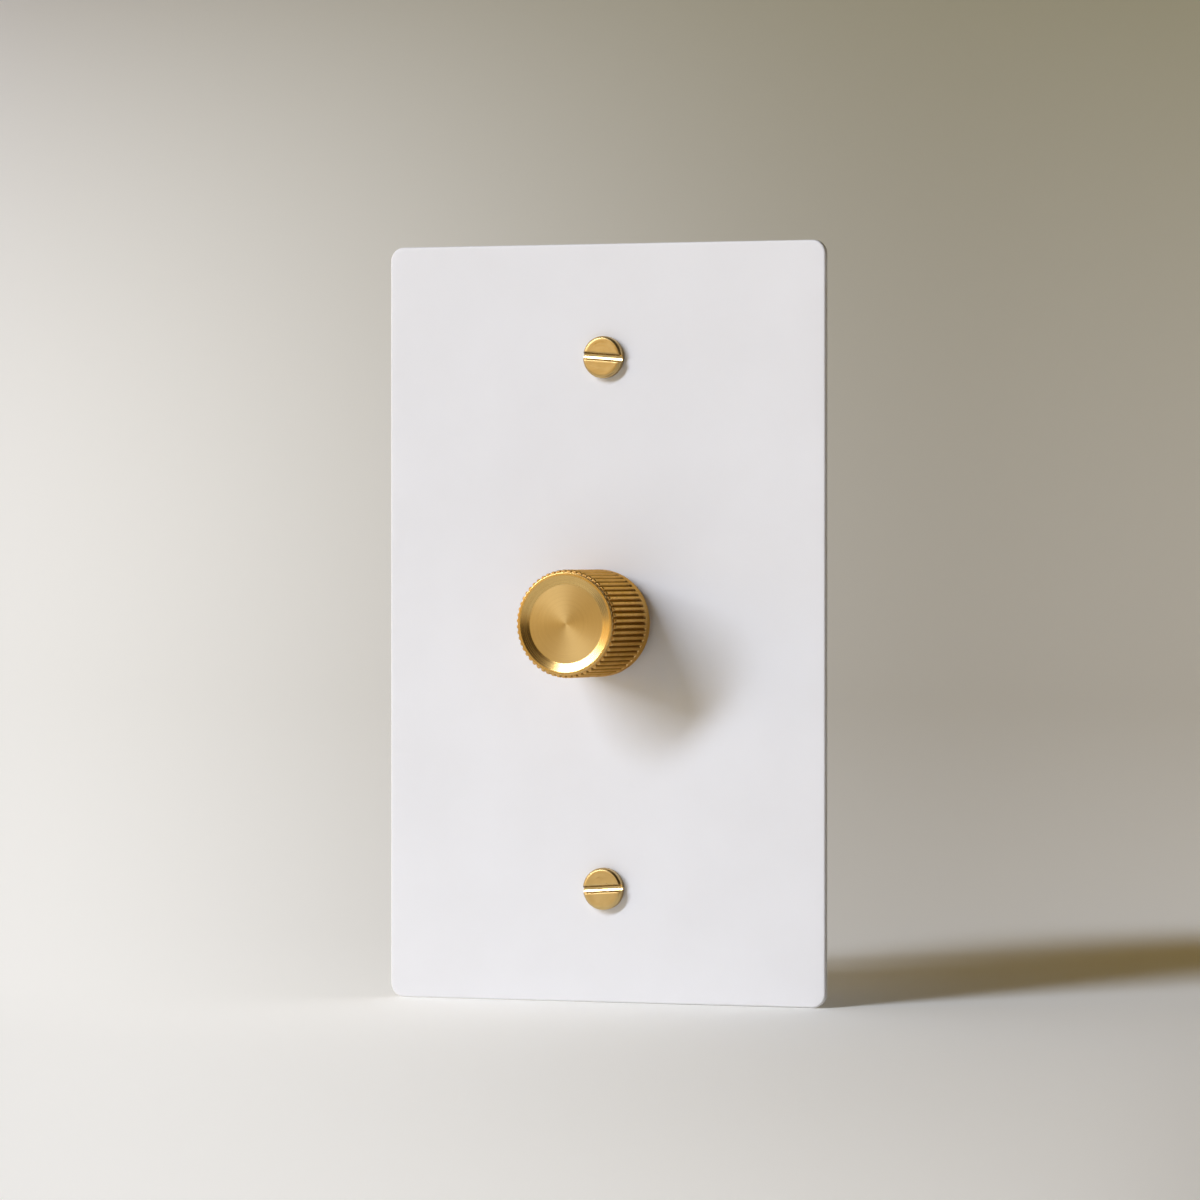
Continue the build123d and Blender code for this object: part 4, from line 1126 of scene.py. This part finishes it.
@dataclass
class Knob:
    """Turned brass knob: dished spun face, bevel and lip, fluted side, plain collar and bore."""

    spun: Finish
    polished: Finish
    fluted: Finish
    lip_step: float = 0.43
    lip_height: float = 0.55
    lip_edge: float = 0.15
    lip_width: float = 0.3
    floor_radius: float = 6.15
    dish_depth: float = 0.5
    front_chamfer: float = 0.15
    back_round: float = 0.9
    collar: float = 1.3
    bore_radius: float = 3.05
    bore_depth: float = 11.0
    bore_chamfer: float = 0.5
    flute_count: int = 56
    flute_depth: float = 0.38
    flute_half_width: float = 0.27
    flute_run_out: float = 0.4
    steps_per_flute: int = 12
    screw_setback: float = 5.0
    screw_hole_radius: float = 1.55
    screw_hole_floor: float = 5.9
    screw_hole_margin: float = 0.2
    screw_hole_edge: float = 0.1
    screw_hole_rings: int = 34
    pole_radius: float = 0.05
    spun_edge: float = 0.12

    def profile(self, radius: float, length: float) -> np.ndarray:
        """Draw the half section from the middle of the face to the end of the bore.

        Args:
            radius: Radius of the fluted side.
            length: Length from the lip to the back.

        Returns:
            Points of radius and depth behind the lip.
        """
        lip = radius - self.lip_step
        bevel_end = lip - self.lip_edge - self.lip_width
        shoulder = self.lip_height + self.front_chamfer
        face = np.array([
            (self.pole_radius, self.dish_depth),
            (self.floor_radius, self.dish_depth),
            (bevel_end, 0.0),
            (lip, 0.0),
            (lip, self.lip_height),
            (radius - self.front_chamfer, self.lip_height),
            (radius, shoulder),
            (radius, shoulder + 0.2),
        ])
        # One radius for each of the points above
        front = round_corners(face, np.array([0, 0.14, 0.1, 0.13, 0.03, 0.03, 0.08, 0]), 7)
        flat = np.linspace(0.35, 0.95, 9) * self.floor_radius
        floor = np.stack([flat, np.full_like(flat, self.dish_depth)], -1)
        flute_end = length - self.back_round - self.collar
        # Rings stand close where the set screw's hole and the ends of the flutes need them
        hole = length - self.screw_setback
        near = self.screw_hole_radius + self.screw_hole_margin
        clear = near + 0.15
        side_depth = np.concatenate([
            np.linspace(shoulder + 0.5, hole - clear, 7),
            np.linspace(hole - near, hole + near, self.screw_hole_rings),
            np.linspace(hole + clear, flute_end - self.flute_run_out - 0.1, 3),
            np.linspace(flute_end - self.flute_run_out, flute_end + 0.05, 12),
        ])
        side = np.stack([np.full_like(side_depth, radius), side_depth], -1)
        tail = np.array([
            (radius, flute_end + 0.2),
            (radius, length),
            (self.bore_radius + self.bore_chamfer, length),
            (self.bore_radius, length - self.bore_chamfer),
            (self.bore_radius, length - self.bore_depth),
            (self.pole_radius, length - self.bore_depth),
        ])
        back = round_corners(tail, np.array([0, self.back_round, 0.05, 0.05, 0.1, 0]), 9)
        return np.concatenate([front[:1], floor, front[1:], side, back])

    def flutes(self, radius: float, length: float, depth: np.ndarray, angle: np.ndarray) -> np.ndarray:
        """Give how deep the flutes cut below the side.

        With t the distance along the side to the nearest flute's middle and w its half width, the
        cut is D (1 - (t/w)^2) inside the flute. Over the run-out it is scaled by the height of a
        quarter circle, so each flute ends in a rounded tip.

        Args:
            radius: Radius of the side.
            length: Length of the knob.
            depth: Depth of each ring behind the lip.
            angle: Angle of each step.

        Returns:
            Depth of the cut for each ring and step.
        """
        pitch = math.tau / self.flute_count
        away = np.abs((angle + pitch / 2) % pitch - pitch / 2) * radius
        shape = 1 - np.clip(away / self.flute_half_width, 0, 1) ** 2
        end = length - self.back_round - self.collar
        past = np.clip((depth - end + self.flute_run_out) / self.flute_run_out, 0, 1)
        return self.flute_depth * np.sqrt(1 - past**2)[:, None] * shape[None, :]

    def build(self) -> bpy.types.Object:
        """Work out the knob's surface, put it in place of the CAD knob and dress it.

        Returns:
            The knob's object.
        """
        low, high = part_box("knob")
        length = (high.y - low.y) / MM
        radius = (high.x - low.x) / 2 / MM
        profile = self.profile(radius, length)
        ring, angle = turn_about_axis(profile, self.flute_count * self.steps_per_flute)
        depth = profile[:, 1]
        limit = radius - self.flutes(radius, length, depth, angle)
        fluted = (profile[:, 0] > radius - self.flute_depth) & (depth > 0.5 * self.lip_height)
        surface = np.where(fluted[:, None], np.minimum(ring, limit), ring)
        # The hole of the set screw sinks from the underside to below the screw's socket
        off_axis = np.hypot(surface * np.cos(angle), (depth - length + self.screw_setback)[:, None])
        below = (np.sin(angle)[None, :] < 0) & fluted[:, None]
        wall = self.screw_hole_radius + self.screw_hole_edge / 2
        sink = np.clip((wall - off_axis) / self.screw_hole_edge, 0, 1) * below
        surface = surface - sink * (surface - self.screw_hole_floor)
        # The groove, full also in the set screw's hole, is the depth by which the fluted finish paints
        # shade
        cut = fluted[:, None] & (surface < ring - 0.01)
        groove = np.where(cut, (radius - surface) / self.flute_depth, 0.0)
        middle = 0.5 * (profile[1:] + profile[:-1])
        spun_radius = self.floor_radius - self.spun_edge
        in_floor = (middle[:, 0] < spun_radius) & (middle[:, 1] <= self.dish_depth + 1e-6)
        in_bevel = (middle[:, 1] < self.lip_height - 0.02) & ~in_floor
        zones = [Zone.SPUN.value, Zone.POLISHED.value]
        bands = np.select([in_floor, in_bevel], zones, Zone.FLUTED.value)
        lengths = np.concatenate([[0.0], np.cumsum(np.linalg.norm(np.diff(profile, axis=0), axis=1))])
        points = lathe_points(surface, depth, angle) * MM + np.array([0.0, low.y, 0.0])
        shell = Shell(points, bands, lengths, np.clip(groove, 0.0, 1.0))
        finishes = [self.spun.material(), self.polished.material(), self.fluted.material()]
        piece = put_shells("knob_turned", [shell], finishes)
        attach(piece, "spindle")
        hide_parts("knob")
        return piece


@dataclass
class PlateScrews:
    """Two slotted brass screws: a base disc, two half heads beside the slot, and a threaded tail."""

    finish: Finish
    screw_height: float = SCREW_HEIGHT
    head_radius: float = 3.3
    head_rise: float = 1.4
    head_chamfer: float = 0.3
    slot_width: float = 1.15
    slot_fall: float = 0.1
    slot_lean: float = 0.24
    slot_depth: float = 0.75
    slot_angles: tuple[float, float] = (-4.8, 3.7)
    head_back: float = -1.8
    neck_radius: float = 1.4
    thread_radius: float = 1.75
    root_radius: float = 1.38
    thread_pitch: float = 0.794
    thread_start: float = 2.4
    tip_chamfer: float = 0.4
    slot_groove: float = 0.33
    shaded_wall_groove: float = 1.0
    around: int = 96
    tail_around: int = 48
    steps_per_pitch: int = 9
    sharp_angle: float = 40.0

    def half_head(self, centre: float, slant: float) -> np.ndarray:
        """Build the head on one side of the slot.

        Each level is an arc of radius R closed by the chord at distance c from the middle. R and c
        change with the level: the arc draws in over the chamfer, and the chord moves out over the
        slot's sloping floor and then up its steep wall.

        Args:
            centre: Height of the screw's axis.
            slant: Turn of the slot in radians, plus half a turn for the lower half.

        Returns:
            Array of levels by steps around by three, in millimetres.
        """
        top = self.head_rise
        floor = top - self.slot_depth
        cut = self.head_chamfer
        half = self.slot_width / 2
        # Rise above the seat, inset of the arc and place of the chord, from the slot's floor to the top
        levels = np.array([
            (floor, 0.0, 0.03),
            (floor + self.slot_fall, 0.0, half - self.slot_lean),
            (floor + self.slot_fall + 0.04, 0.0, half - 0.9 * self.slot_lean),
            (top - cut - 0.09, 0.0, half - 0.5 * self.slot_lean),
            (top - cut - 0.02, 0.012, half - 0.43 * self.slot_lean),
            (top - cut + 0.06, 0.06, half - 0.35 * self.slot_lean),
            (top - 0.09, cut - 0.09, half),
            (top - 0.05, cut - 0.045, half + 0.01),
            (top - 0.015, cut + 0.015, half + 0.03),
            (top, cut + 0.07, half + 0.07),
            (top, cut + 0.4, half + 0.3),
        ])
        radius = self.head_radius - levels[:, 1:2]
        chord = levels[:, 2:3]
        start = np.arcsin(chord / radius)
        share = np.linspace(0.0, 1.0, self.around // 2 + 1)[None, :]
        arc = start + share * (math.pi - 2 * start)
        span = radius * np.cos(start)
        back = np.linspace(-1.0, 1.0, self.around // 4)[None, 1:-1] * span
        along = np.concatenate([radius * np.cos(arc), back], axis=1)
        across = np.concatenate([radius * np.sin(arc), chord + 0 * back], axis=1)
        east = along * math.cos(slant) - across * math.sin(slant)
        north = along * math.sin(slant) + across * math.cos(slant)
        depth = (self.head_back - levels[:, 0])[:, None] + 0 * east
        return np.stack([east, depth, north + centre], -1)

    def disc(self, centre: float) -> np.ndarray:
        """Build the solid disc under the slot as a short cylinder.

        Args:
            centre: Height of the screw's axis.

        Returns:
            Array of levels by steps around by three, in millimetres.
        """
        angle = np.arange(self.around) * math.tau / self.around
        rise = np.array([0.0, 0.03, 0.08, self.head_rise - self.slot_depth])
        radius = self.head_radius - np.array([0.08, 0.03, 0.0, 0.0])
        inner = np.array([0.35, 0.7])
        radii = np.concatenate([radius[:1] * inner, radius, radius[-1:] * inner[::-1]])
        levels = np.concatenate([rise[:1], rise[:1], rise, rise[-1:], rise[-1:]])
        rings = np.repeat(radii[:, None], self.around, axis=1)
        return lathe_points(rings, self.head_back - levels, angle) + np.array([0.0, 0.0, centre])

    def tail(self, centre: float, end: float) -> np.ndarray:
        """Build the neck and the thread.

        The thread's radius is root + (crest - root) T, where T is a triangle wave of the place along
        Y in pitches less the angle in turns, with its points flattened. A cone bounds it at the tip.

        Args:
            centre: Height of the screw's axis.
            end: Place of the tip along Y.

        Returns:
            Array of levels by steps around by three, in millimetres.
        """
        angle = np.arange(self.tail_around) * math.tau / self.tail_around
        neck = np.array([self.head_back - 0.05, -1.0, 0.5, self.thread_start - 0.05])
        thread = np.arange(self.thread_start, end, self.thread_pitch / self.steps_per_pitch)
        depth = np.concatenate([neck, thread, [end]])
        phase = (depth[:, None] / self.thread_pitch - angle[None, :] / math.tau) % 1.0
        wave = np.clip(1.25 * (1 - np.abs(2 * phase - 1)) - 0.1, 0, 1)
        ridge = self.root_radius + (self.thread_radius - self.root_radius) * wave
        lead = np.clip((depth - self.thread_start) / self.thread_pitch, 0, 1)[:, None]
        cone = (self.thread_radius - self.tip_chamfer + np.clip(end - depth, 0, 9))[:, None]
        radius = np.minimum(self.neck_radius + lead * (ridge - self.neck_radius), cone)
        return lathe_points(radius, depth, angle) + np.array([0.0, 0.0, centre])

    def build(self) -> bpy.types.Object:
        """Work out both screws, put them in place of the CAD screws and dress them.

        Returns:
            The object that holds both screws.
        """
        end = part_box("plate_screws")[1].y / MM
        shells = []
        for side, slant in zip((1.0, -1.0), np.radians(self.slot_angles)):
            centre = side * self.screw_height
            halves = [plain_shell(self.half_head(centre, slant + turn) * MM) for turn in (0.0, math.pi)]
            # The last steps around lie along the chord: two levels of floor, then five of wall. The
            # upper half's wall takes the full groove, on which the finish paints shade; the lower half's
            # wall stays like the slot.
            for half, wall_shade_level in zip(halves, (self.shaded_wall_groove, self.slot_groove)):
                half.groove[:2, 1 - self.around // 4:] = self.slot_groove
                half.groove[2:7, 1 - self.around // 4:] = wall_shade_level
            disc, tail = plain_shell(self.disc(centre) * MM), plain_shell(self.tail(centre, end) * MM)
            shells += [disc, *halves, tail]
        piece = put_shells("plate_screws_turned", shells, [self.finish.material()])
        piece.data.set_sharp_from_angle(angle=math.radians(self.sharp_angle))
        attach(piece, "base")
        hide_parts("plate_screws")
        return piece


@dataclass
class SwitchSpring:
    """Coil of round wire that pushes the switch's plunger out and shortens as the knob is pushed."""

    finish: Finish
    wire_radius: float = 0.2
    coil_radius: float = 2.45
    turns: float = 3.5
    travel: float = 1.0
    seat_gap: float = 0.04
    steps: int = 168
    around: int = 12

    def coil(self, front: float, back: float) -> np.ndarray:
        """Carry a circle of the wire's radius along a helix around Y.

        The middle line is (R cos a, y, R sin a), with y growing evenly by p per radian of a. A point
        of the circle lies w cos b outwards and w sin b along (p sin a, R, -p cos a) at unit length.

        Args:
            front: Place of the line's start along Y.
            back: Place of its end.

        Returns:
            Array of steps along by steps around by three, in millimetres.
        """
        angle = np.linspace(0.0, self.turns * math.tau, self.steps + 1)[:, None]
        around = (np.arange(self.around) * math.tau / self.around)[None, :]
        slope = (back - front) / (self.turns * math.tau)
        lean = math.hypot(self.coil_radius, slope)
        outward = self.coil_radius + self.wire_radius * np.cos(around)
        along = self.wire_radius * np.sin(around) / lean
        east = outward * np.cos(angle) + along * slope * np.sin(angle)
        north = outward * np.sin(angle) - along * slope * np.cos(angle)
        depth = front + slope * angle + along * self.coil_radius
        return np.stack([east, depth, north], -1)

    def build(self) -> bpy.types.Object:
        """Work out the coil, put it in place of the CAD spring and give it a mesh of its own.

        Returns:
            The coil.
        """
        low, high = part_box("switch_spring")
        points = self.coil(low.y / MM + self.wire_radius, high.y / MM - self.wire_radius)
        piece = put_shells("switch_spring_coil", [plain_shell(points * MM)], [self.finish.material()])
        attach(piece, "base")
        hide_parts("switch_spring")
        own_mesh(piece)
        return piece


@dataclass
class CarriedPieces:
    """CAD pieces that keep their shape, with the finish that each group of them gets."""

    groups: dict[Finish, list[str]]

    def dress(self, nodes: dict[str, bpy.types.Object]) -> None:
        """Give each named CAD node the material of its group.

        Args:
            nodes: CAD objects by name.
        """
        for finish, names in self.groups.items():
            material = finish.material()
            for name in names:
                mesh = nodes[name].data
                mesh.materials.clear()
                mesh.materials.append(material)
                LOG.info("%s: %s", name, finish.name)


@dataclass
class Viewpoint:
    """Camera that sees the plate from the right at about the height of the knob."""

    azimuth: float = 23.0
    pitch: float = -0.356
    distance: float = 1079.0
    focal_pixels: float = 6880.0
    image_pixels: float = 1200.0
    sensor_width: float = 36.0
    clip_end: float = 30.0
    plate_middle: tuple[float, float, float] = (0.0, -1.8, 0.0)
    plate_pixel: tuple[float, float] = (605.0, 623.0)

    def build(self) -> bpy.types.Object:
        """Place the camera so that the plate's middle lands on its pixel.

        Returns:
            The camera, set as the scene's own.
        """
        turn, tilt = math.radians(self.azimuth), math.radians(self.pitch)
        level = math.cos(tilt)
        ahead = Vector((-math.sin(turn) * level, math.cos(turn) * level, math.sin(tilt)))
        right = Vector((math.cos(turn), math.sin(turn), 0.0))
        up = right.cross(ahead)
        reach = self.distance / self.focal_pixels
        shift_right = (self.plate_pixel[0] - self.image_pixels / 2) * reach
        shift_up = (self.image_pixels / 2 - self.plate_pixel[1]) * reach
        place = Vector(self.plate_middle) - ahead * self.distance - right * shift_right - up * shift_up
        lens = bpy.data.cameras.new("camera")
        lens.sensor_width = self.sensor_width
        lens.lens = self.focal_pixels / self.image_pixels * self.sensor_width
        lens.clip_end = self.clip_end
        camera = bpy.data.objects.new("camera", lens)
        camera.matrix_world = Matrix((
            (right.x, up.x, -ahead.x, place.x * MM),
            (right.y, up.y, -ahead.y, place.y * MM),
            (right.z, up.z, -ahead.z, place.z * MM),
            (0.0, 0.0, 0.0, 1.0),
        ))
        bpy.context.scene.collection.objects.link(camera)
        bpy.context.scene.camera = camera
        return camera


@dataclass
class Studio:
    """Pale sweep of paper, a slanted strip of key light from the upper left and a soft room around.

    The ends of the room's lights are shares of the way from one side of the room to the other, with
    the middle at 0, and places and lengths are metres.
    """

    paper: Finish
    key_direction: tuple[float, float, float] = (-0.53, -0.70, 0.46)
    key_distance: float = 3.2
    key_width: float = 2.1
    key_roll: float = 52.0
    key_height: float = 0.5
    key_power: float = 95.0
    key_colour: Colour = (0.745, 0.83, 1.0)
    room_colour: Colour = (1.0, 0.67, 0.2)
    room_left: float = 0.93
    room_right: float = 0.06
    room_ends: tuple[float, float] = (-0.5, 0.15)
    room_above: float = 0.25
    above_ends: tuple[float, float] = (0.15, 0.8)
    window_colour: Colour = (1.0, 0.87, 0.65)
    window: float = 0.5
    window_ends: tuple[float, float] = (-0.95, -0.65)
    sweep_front: float = -2.8
    sweep_rise: float = -0.5
    sweep_climb: float = 0.04
    sweep_back: float = 0.75
    sweep_radius: float = 1.9
    sweep_half_width: float = 3.2
    sweep_arc_steps: int = 64
    sweep_steps: int = 9

    def sweep(self, floor: float) -> bpy.types.Object:
        """Lay a floor that curves up into a backdrop.

        The profile is level in front, then a line through the part's foot that climbs by the given
        share, and then the arc of a circle that starts along that line and ends upright. It is carried
        along X.

        Args:
            floor: Height of the floor in metres.

        Returns:
            The sweep's object, marked as stage.
        """
        lean = math.atan(self.sweep_climb)
        arc = np.linspace(lean, 0.5 * math.pi, self.sweep_arc_steps)
        level = np.linspace(self.sweep_front, self.sweep_rise, self.sweep_steps)[:-1]
        slope = np.linspace(self.sweep_rise, self.sweep_back, self.sweep_steps)[:-1]
        bend_depth = self.sweep_back + self.sweep_radius * (np.sin(arc) - math.sin(lean))
        bend_start = self.sweep_back * self.sweep_climb
        bend_height = bend_start + self.sweep_radius * (math.cos(lean) - np.cos(arc))
        depth = np.concatenate([level, slope, bend_depth])
        low = np.full_like(level, self.sweep_rise * self.sweep_climb)
        height = np.concatenate([low, slope * self.sweep_climb, bend_height]) + floor
        across = np.linspace(-self.sweep_half_width, self.sweep_half_width, self.sweep_steps)
        points = np.stack([
            across[None, :] + 0 * depth[:, None],
            depth[:, None] + 0 * across[None, :],
            height[:, None] + 0 * across[None, :],
        ], -1)
        rows, columns, _ = points.shape
        start = np.arange(rows - 1)[:, None] * columns + np.arange(columns - 1)[None, :]
        faces = np.stack([start, start + 1, start + columns + 1, start + columns], -1).reshape(-1, 4)
        mesh = bpy.data.meshes.new("studio_sweep")
        mesh.from_pydata(points.reshape(-1, 3).tolist(), [], faces.tolist())
        mesh.materials.append(self.paper.material())
        piece = add_piece("studio_sweep", mesh)
        piece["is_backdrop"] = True
        return piece

    def key(self) -> bpy.types.Object:
        """Hang the key light, turned to the knob.

        Returns:
            The light's object.
        """
        lamp = bpy.data.lights.new("key", "AREA")
        lamp.shape = "RECTANGLE"
        lamp.size = self.key_width
        lamp.size_y = self.key_height
        lamp.energy = self.key_power
        lamp.color = self.key_colour
        light = bpy.data.objects.new("key", lamp)
        direction = Vector(self.key_direction).normalized()
        light.location = direction * self.key_distance
        light.visible_camera = False
        light.rotation_mode = "QUATERNION"
        roll = Quaternion((0.0, 0.0, 1.0), math.radians(self.key_roll))
        light.rotation_quaternion = direction.to_track_quat("Z", "Y") @ roll
        bpy.context.scene.collection.objects.link(light)
        return light

    def room(self) -> None:
        """Light the room: warm on the left, with a soft change to a dim right, and a window far left."""
        world = bpy.data.worlds.new("soft_room")
        bpy.context.scene.world = world
        graph = Graph(world, "ShaderNodeAddShader", "ShaderNodeOutputWorld")
        east, _, up = graph.split(graph.add("ShaderNodeTexCoord").outputs["Generated"])
        height = graph.span(up, *self.above_ends, 1.0, self.room_above, "SMOOTHSTEP")
        lights = (
            (self.room_colour, self.room_ends, (self.room_left, self.room_right)),
            (self.window_colour, self.window_ends, (self.window, 0.0)),
        )
        for socket, (colour, ends, powers) in zip(graph.shader.inputs, lights):
            ramp = graph.span(east, *ends, *powers, "SMOOTHSTEP")
            glow = graph.add("ShaderNodeBackground")
            graph.feed((*colour, 1.0), glow.inputs["Color"])
            graph.feed(graph.times(ramp, height), glow.inputs["Strength"])
            graph.feed(glow.outputs[0], socket)

    def build(self, floor: float) -> None:
        """Set up the sweep, the key light and the room.

        Args:
            floor: Height of the floor in metres.
        """
        self.sweep(floor)
        self.key()
        self.room()
        bpy.context.scene.view_settings.view_transform = "Standard"


def brass_pieces() -> tuple[Knob, PlateScrews]:
    """Make the two turned sub-assemblies with their brass finishes.

    Returns:
        The knob and the plate screws.
    """
    gold, drift = (0.625, 0.455, 0.2), (0.555, 0.39, 0.16)
    spun = Spun(
        "spun_brass", gold, drift, smooth=0.27, rough=0.36, pull=0.5, ring_pitch=0.16, mark_depth=0.0065
    )
    warm, warm_drift = (0.66, 0.445, 0.165), (0.58, 0.375, 0.125)
    polished = Spun(
        "polished_brass", warm, warm_drift, smooth=0.22, rough=0.31, pull=0.4, mark_depth=0.0015
    )
    fluted = Fluted("fluted_brass", (0.74, 0.48, 0.19), (0.62, 0.38, 0.13))
    return Knob(spun, polished, fluted), PlateScrews(Faced("faced_brass", gold, drift))


def dark_steel(name: str) -> Metal:
    """Make the finish of the spring and of the small hardened pieces."""
    return Metal(name, (0.42, 0.42, 0.43), (0.34, 0.34, 0.35), smooth=0.24, rough=0.38, mark=0.18)


def carried_pieces() -> CarriedPieces:
    """Choose the finish of every CAD piece that keeps its shape.

    A metal's numbers are smooth, rough and mark, and a moulding's smooth, rough, grain and grain depth.

    Returns:
        The groups of pieces.
    """
    bright = Metal("bright_brass", (0.78, 0.58, 0.28), (0.70, 0.49, 0.21))
    zinc = Metal("zinc_sheet", (0.62, 0.63, 0.64), (0.52, 0.53, 0.54), 0.26, 0.44, 0.3, Lay.UPRIGHT)
    plated = Metal("plated_steel", (0.66, 0.65, 0.62), (0.57, 0.56, 0.53), 0.2, 0.36, 0.2)
    spring = dark_steel("spring_steel")
    tinned = Metal("tinned_wire", (0.72, 0.72, 0.70), (0.64, 0.64, 0.62), 0.26, 0.4, 0.2, Lay.LEVEL)
    green = Metal("green_passivated_screw", (0.06, 0.32, 0.12), (0.04, 0.24, 0.09), 0.26, 0.42, 0.2)
    rubber = Moulding(
        "gasket_rubber", (0.022, 0.022, 0.024), (0.035, 0.035, 0.037), 0.62, 0.8, 0.35, 0.02
    )
    pad = Moulding("thermal_pad_rubber", (0.40, 0.41, 0.42), (0.34, 0.35, 0.36), 0.6, 0.75, 0.3, 0.01)
    nylon = Moulding("natural_nylon", (0.72, 0.69, 0.60), (0.66, 0.63, 0.54), 0.36, 0.5, 0.4, 0.006)
    dark = Moulding("black_moulding", (0.02, 0.02, 0.022), (0.028, 0.028, 0.03), 0.38, 0.54, 0.28, 0.014)
    yellow = Moulding("yellow_moulding", (0.66, 0.44, 0.03), (0.60, 0.39, 0.025), 0.3, 0.42, 0.3, 0.006)
    red = Moulding("red_moulding", (0.36, 0.030, 0.020), (0.30, 0.024, 0.016), 0.26, 0.38, 0.3, 0.004)
    tan = Moulding("tan_lacquer", (0.46, 0.27, 0.13), (0.41, 0.24, 0.11), 0.28, 0.4, 0.3, 0.006)
    blue = Moulding("blue_lacquer", (0.02, 0.07, 0.32), (0.015, 0.055, 0.27), 0.26, 0.38, 0.3, 0.005)
    carbon = Moulding("carbon_track", (0.01, 0.01, 0.011), (0.016, 0.016, 0.017), 0.3, 0.42, 0.15, 0.003)
    ferrite = Moulding("grey_ferrite", (0.05, 0.05, 0.055), (0.07, 0.07, 0.075), 0.5, 0.66, 0.2, 0.01)
    laminate = Woven("brown_laminate", (0.28, 0.15, 0.06), (0.22, 0.115, 0.045))
    board = Woven("green_board", (0.02, 0.16, 0.06), (0.03, 0.20, 0.08))
    copper = Wound("enamelled_copper", (0.72, 0.30, 0.12), (0.24, 0.08, 0.03))
    return CarriedPieces({
        rubber: ["wall_gasket"],
        nylon: ["screw_retainers", "wiper_hub", "switch_plunger"],
        zinc: ["mounting_strap"],
        green: ["earth_screw"],
        bright: ["threaded_neck", "wiper_contact", "terminal_plates", "terminal_screws"],
        plated: ["neck_washer", "neck_nut", "shaft", "control_case", "device_screw", "housing_screws"],
        spring: ["shaft_clip", "knob_set_screw"],
        tinned: ["control_pins"],
        laminate: ["control_wafer"],
        carbon: ["resistance_track"],
        dark: ["switch_case", "power_device", "housing"],
        board: ["circuit_board"],
        pad: ["device_pad"],
        ferrite: ["choke_core"],
        copper: ["choke_winding"],
        yellow: ["filter_capacitor"],
        red: ["timing_capacitor"],
        tan: ["resistor"],
        blue: ["trigger_diode"],
    })


def main() -> None:
    """Build the pieces in order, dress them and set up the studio."""
    logging.basicConfig(level=logging.INFO, format="%(name)s %(message)s")
    cad_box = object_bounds()
    Viewpoint().build()
    carried_pieces().dress(frame["nodes"])
    FacePlate(PowderCoat("white_powder_coat", (0.815, 0.810, 0.815), (0.795, 0.789, 0.792))).build()
    knob, screws = brass_pieces()
    knob.build()
    screws.build()
    SwitchSpring(dark_steel("coil_steel")).build()
    paper = WashedPaper("washed_paper", (0.40, 0.395, 0.38), (0.97, 0.96, 0.91))
    Studio(paper).build(cad_box[0].z)


if __name__ == "__main__":
    main()
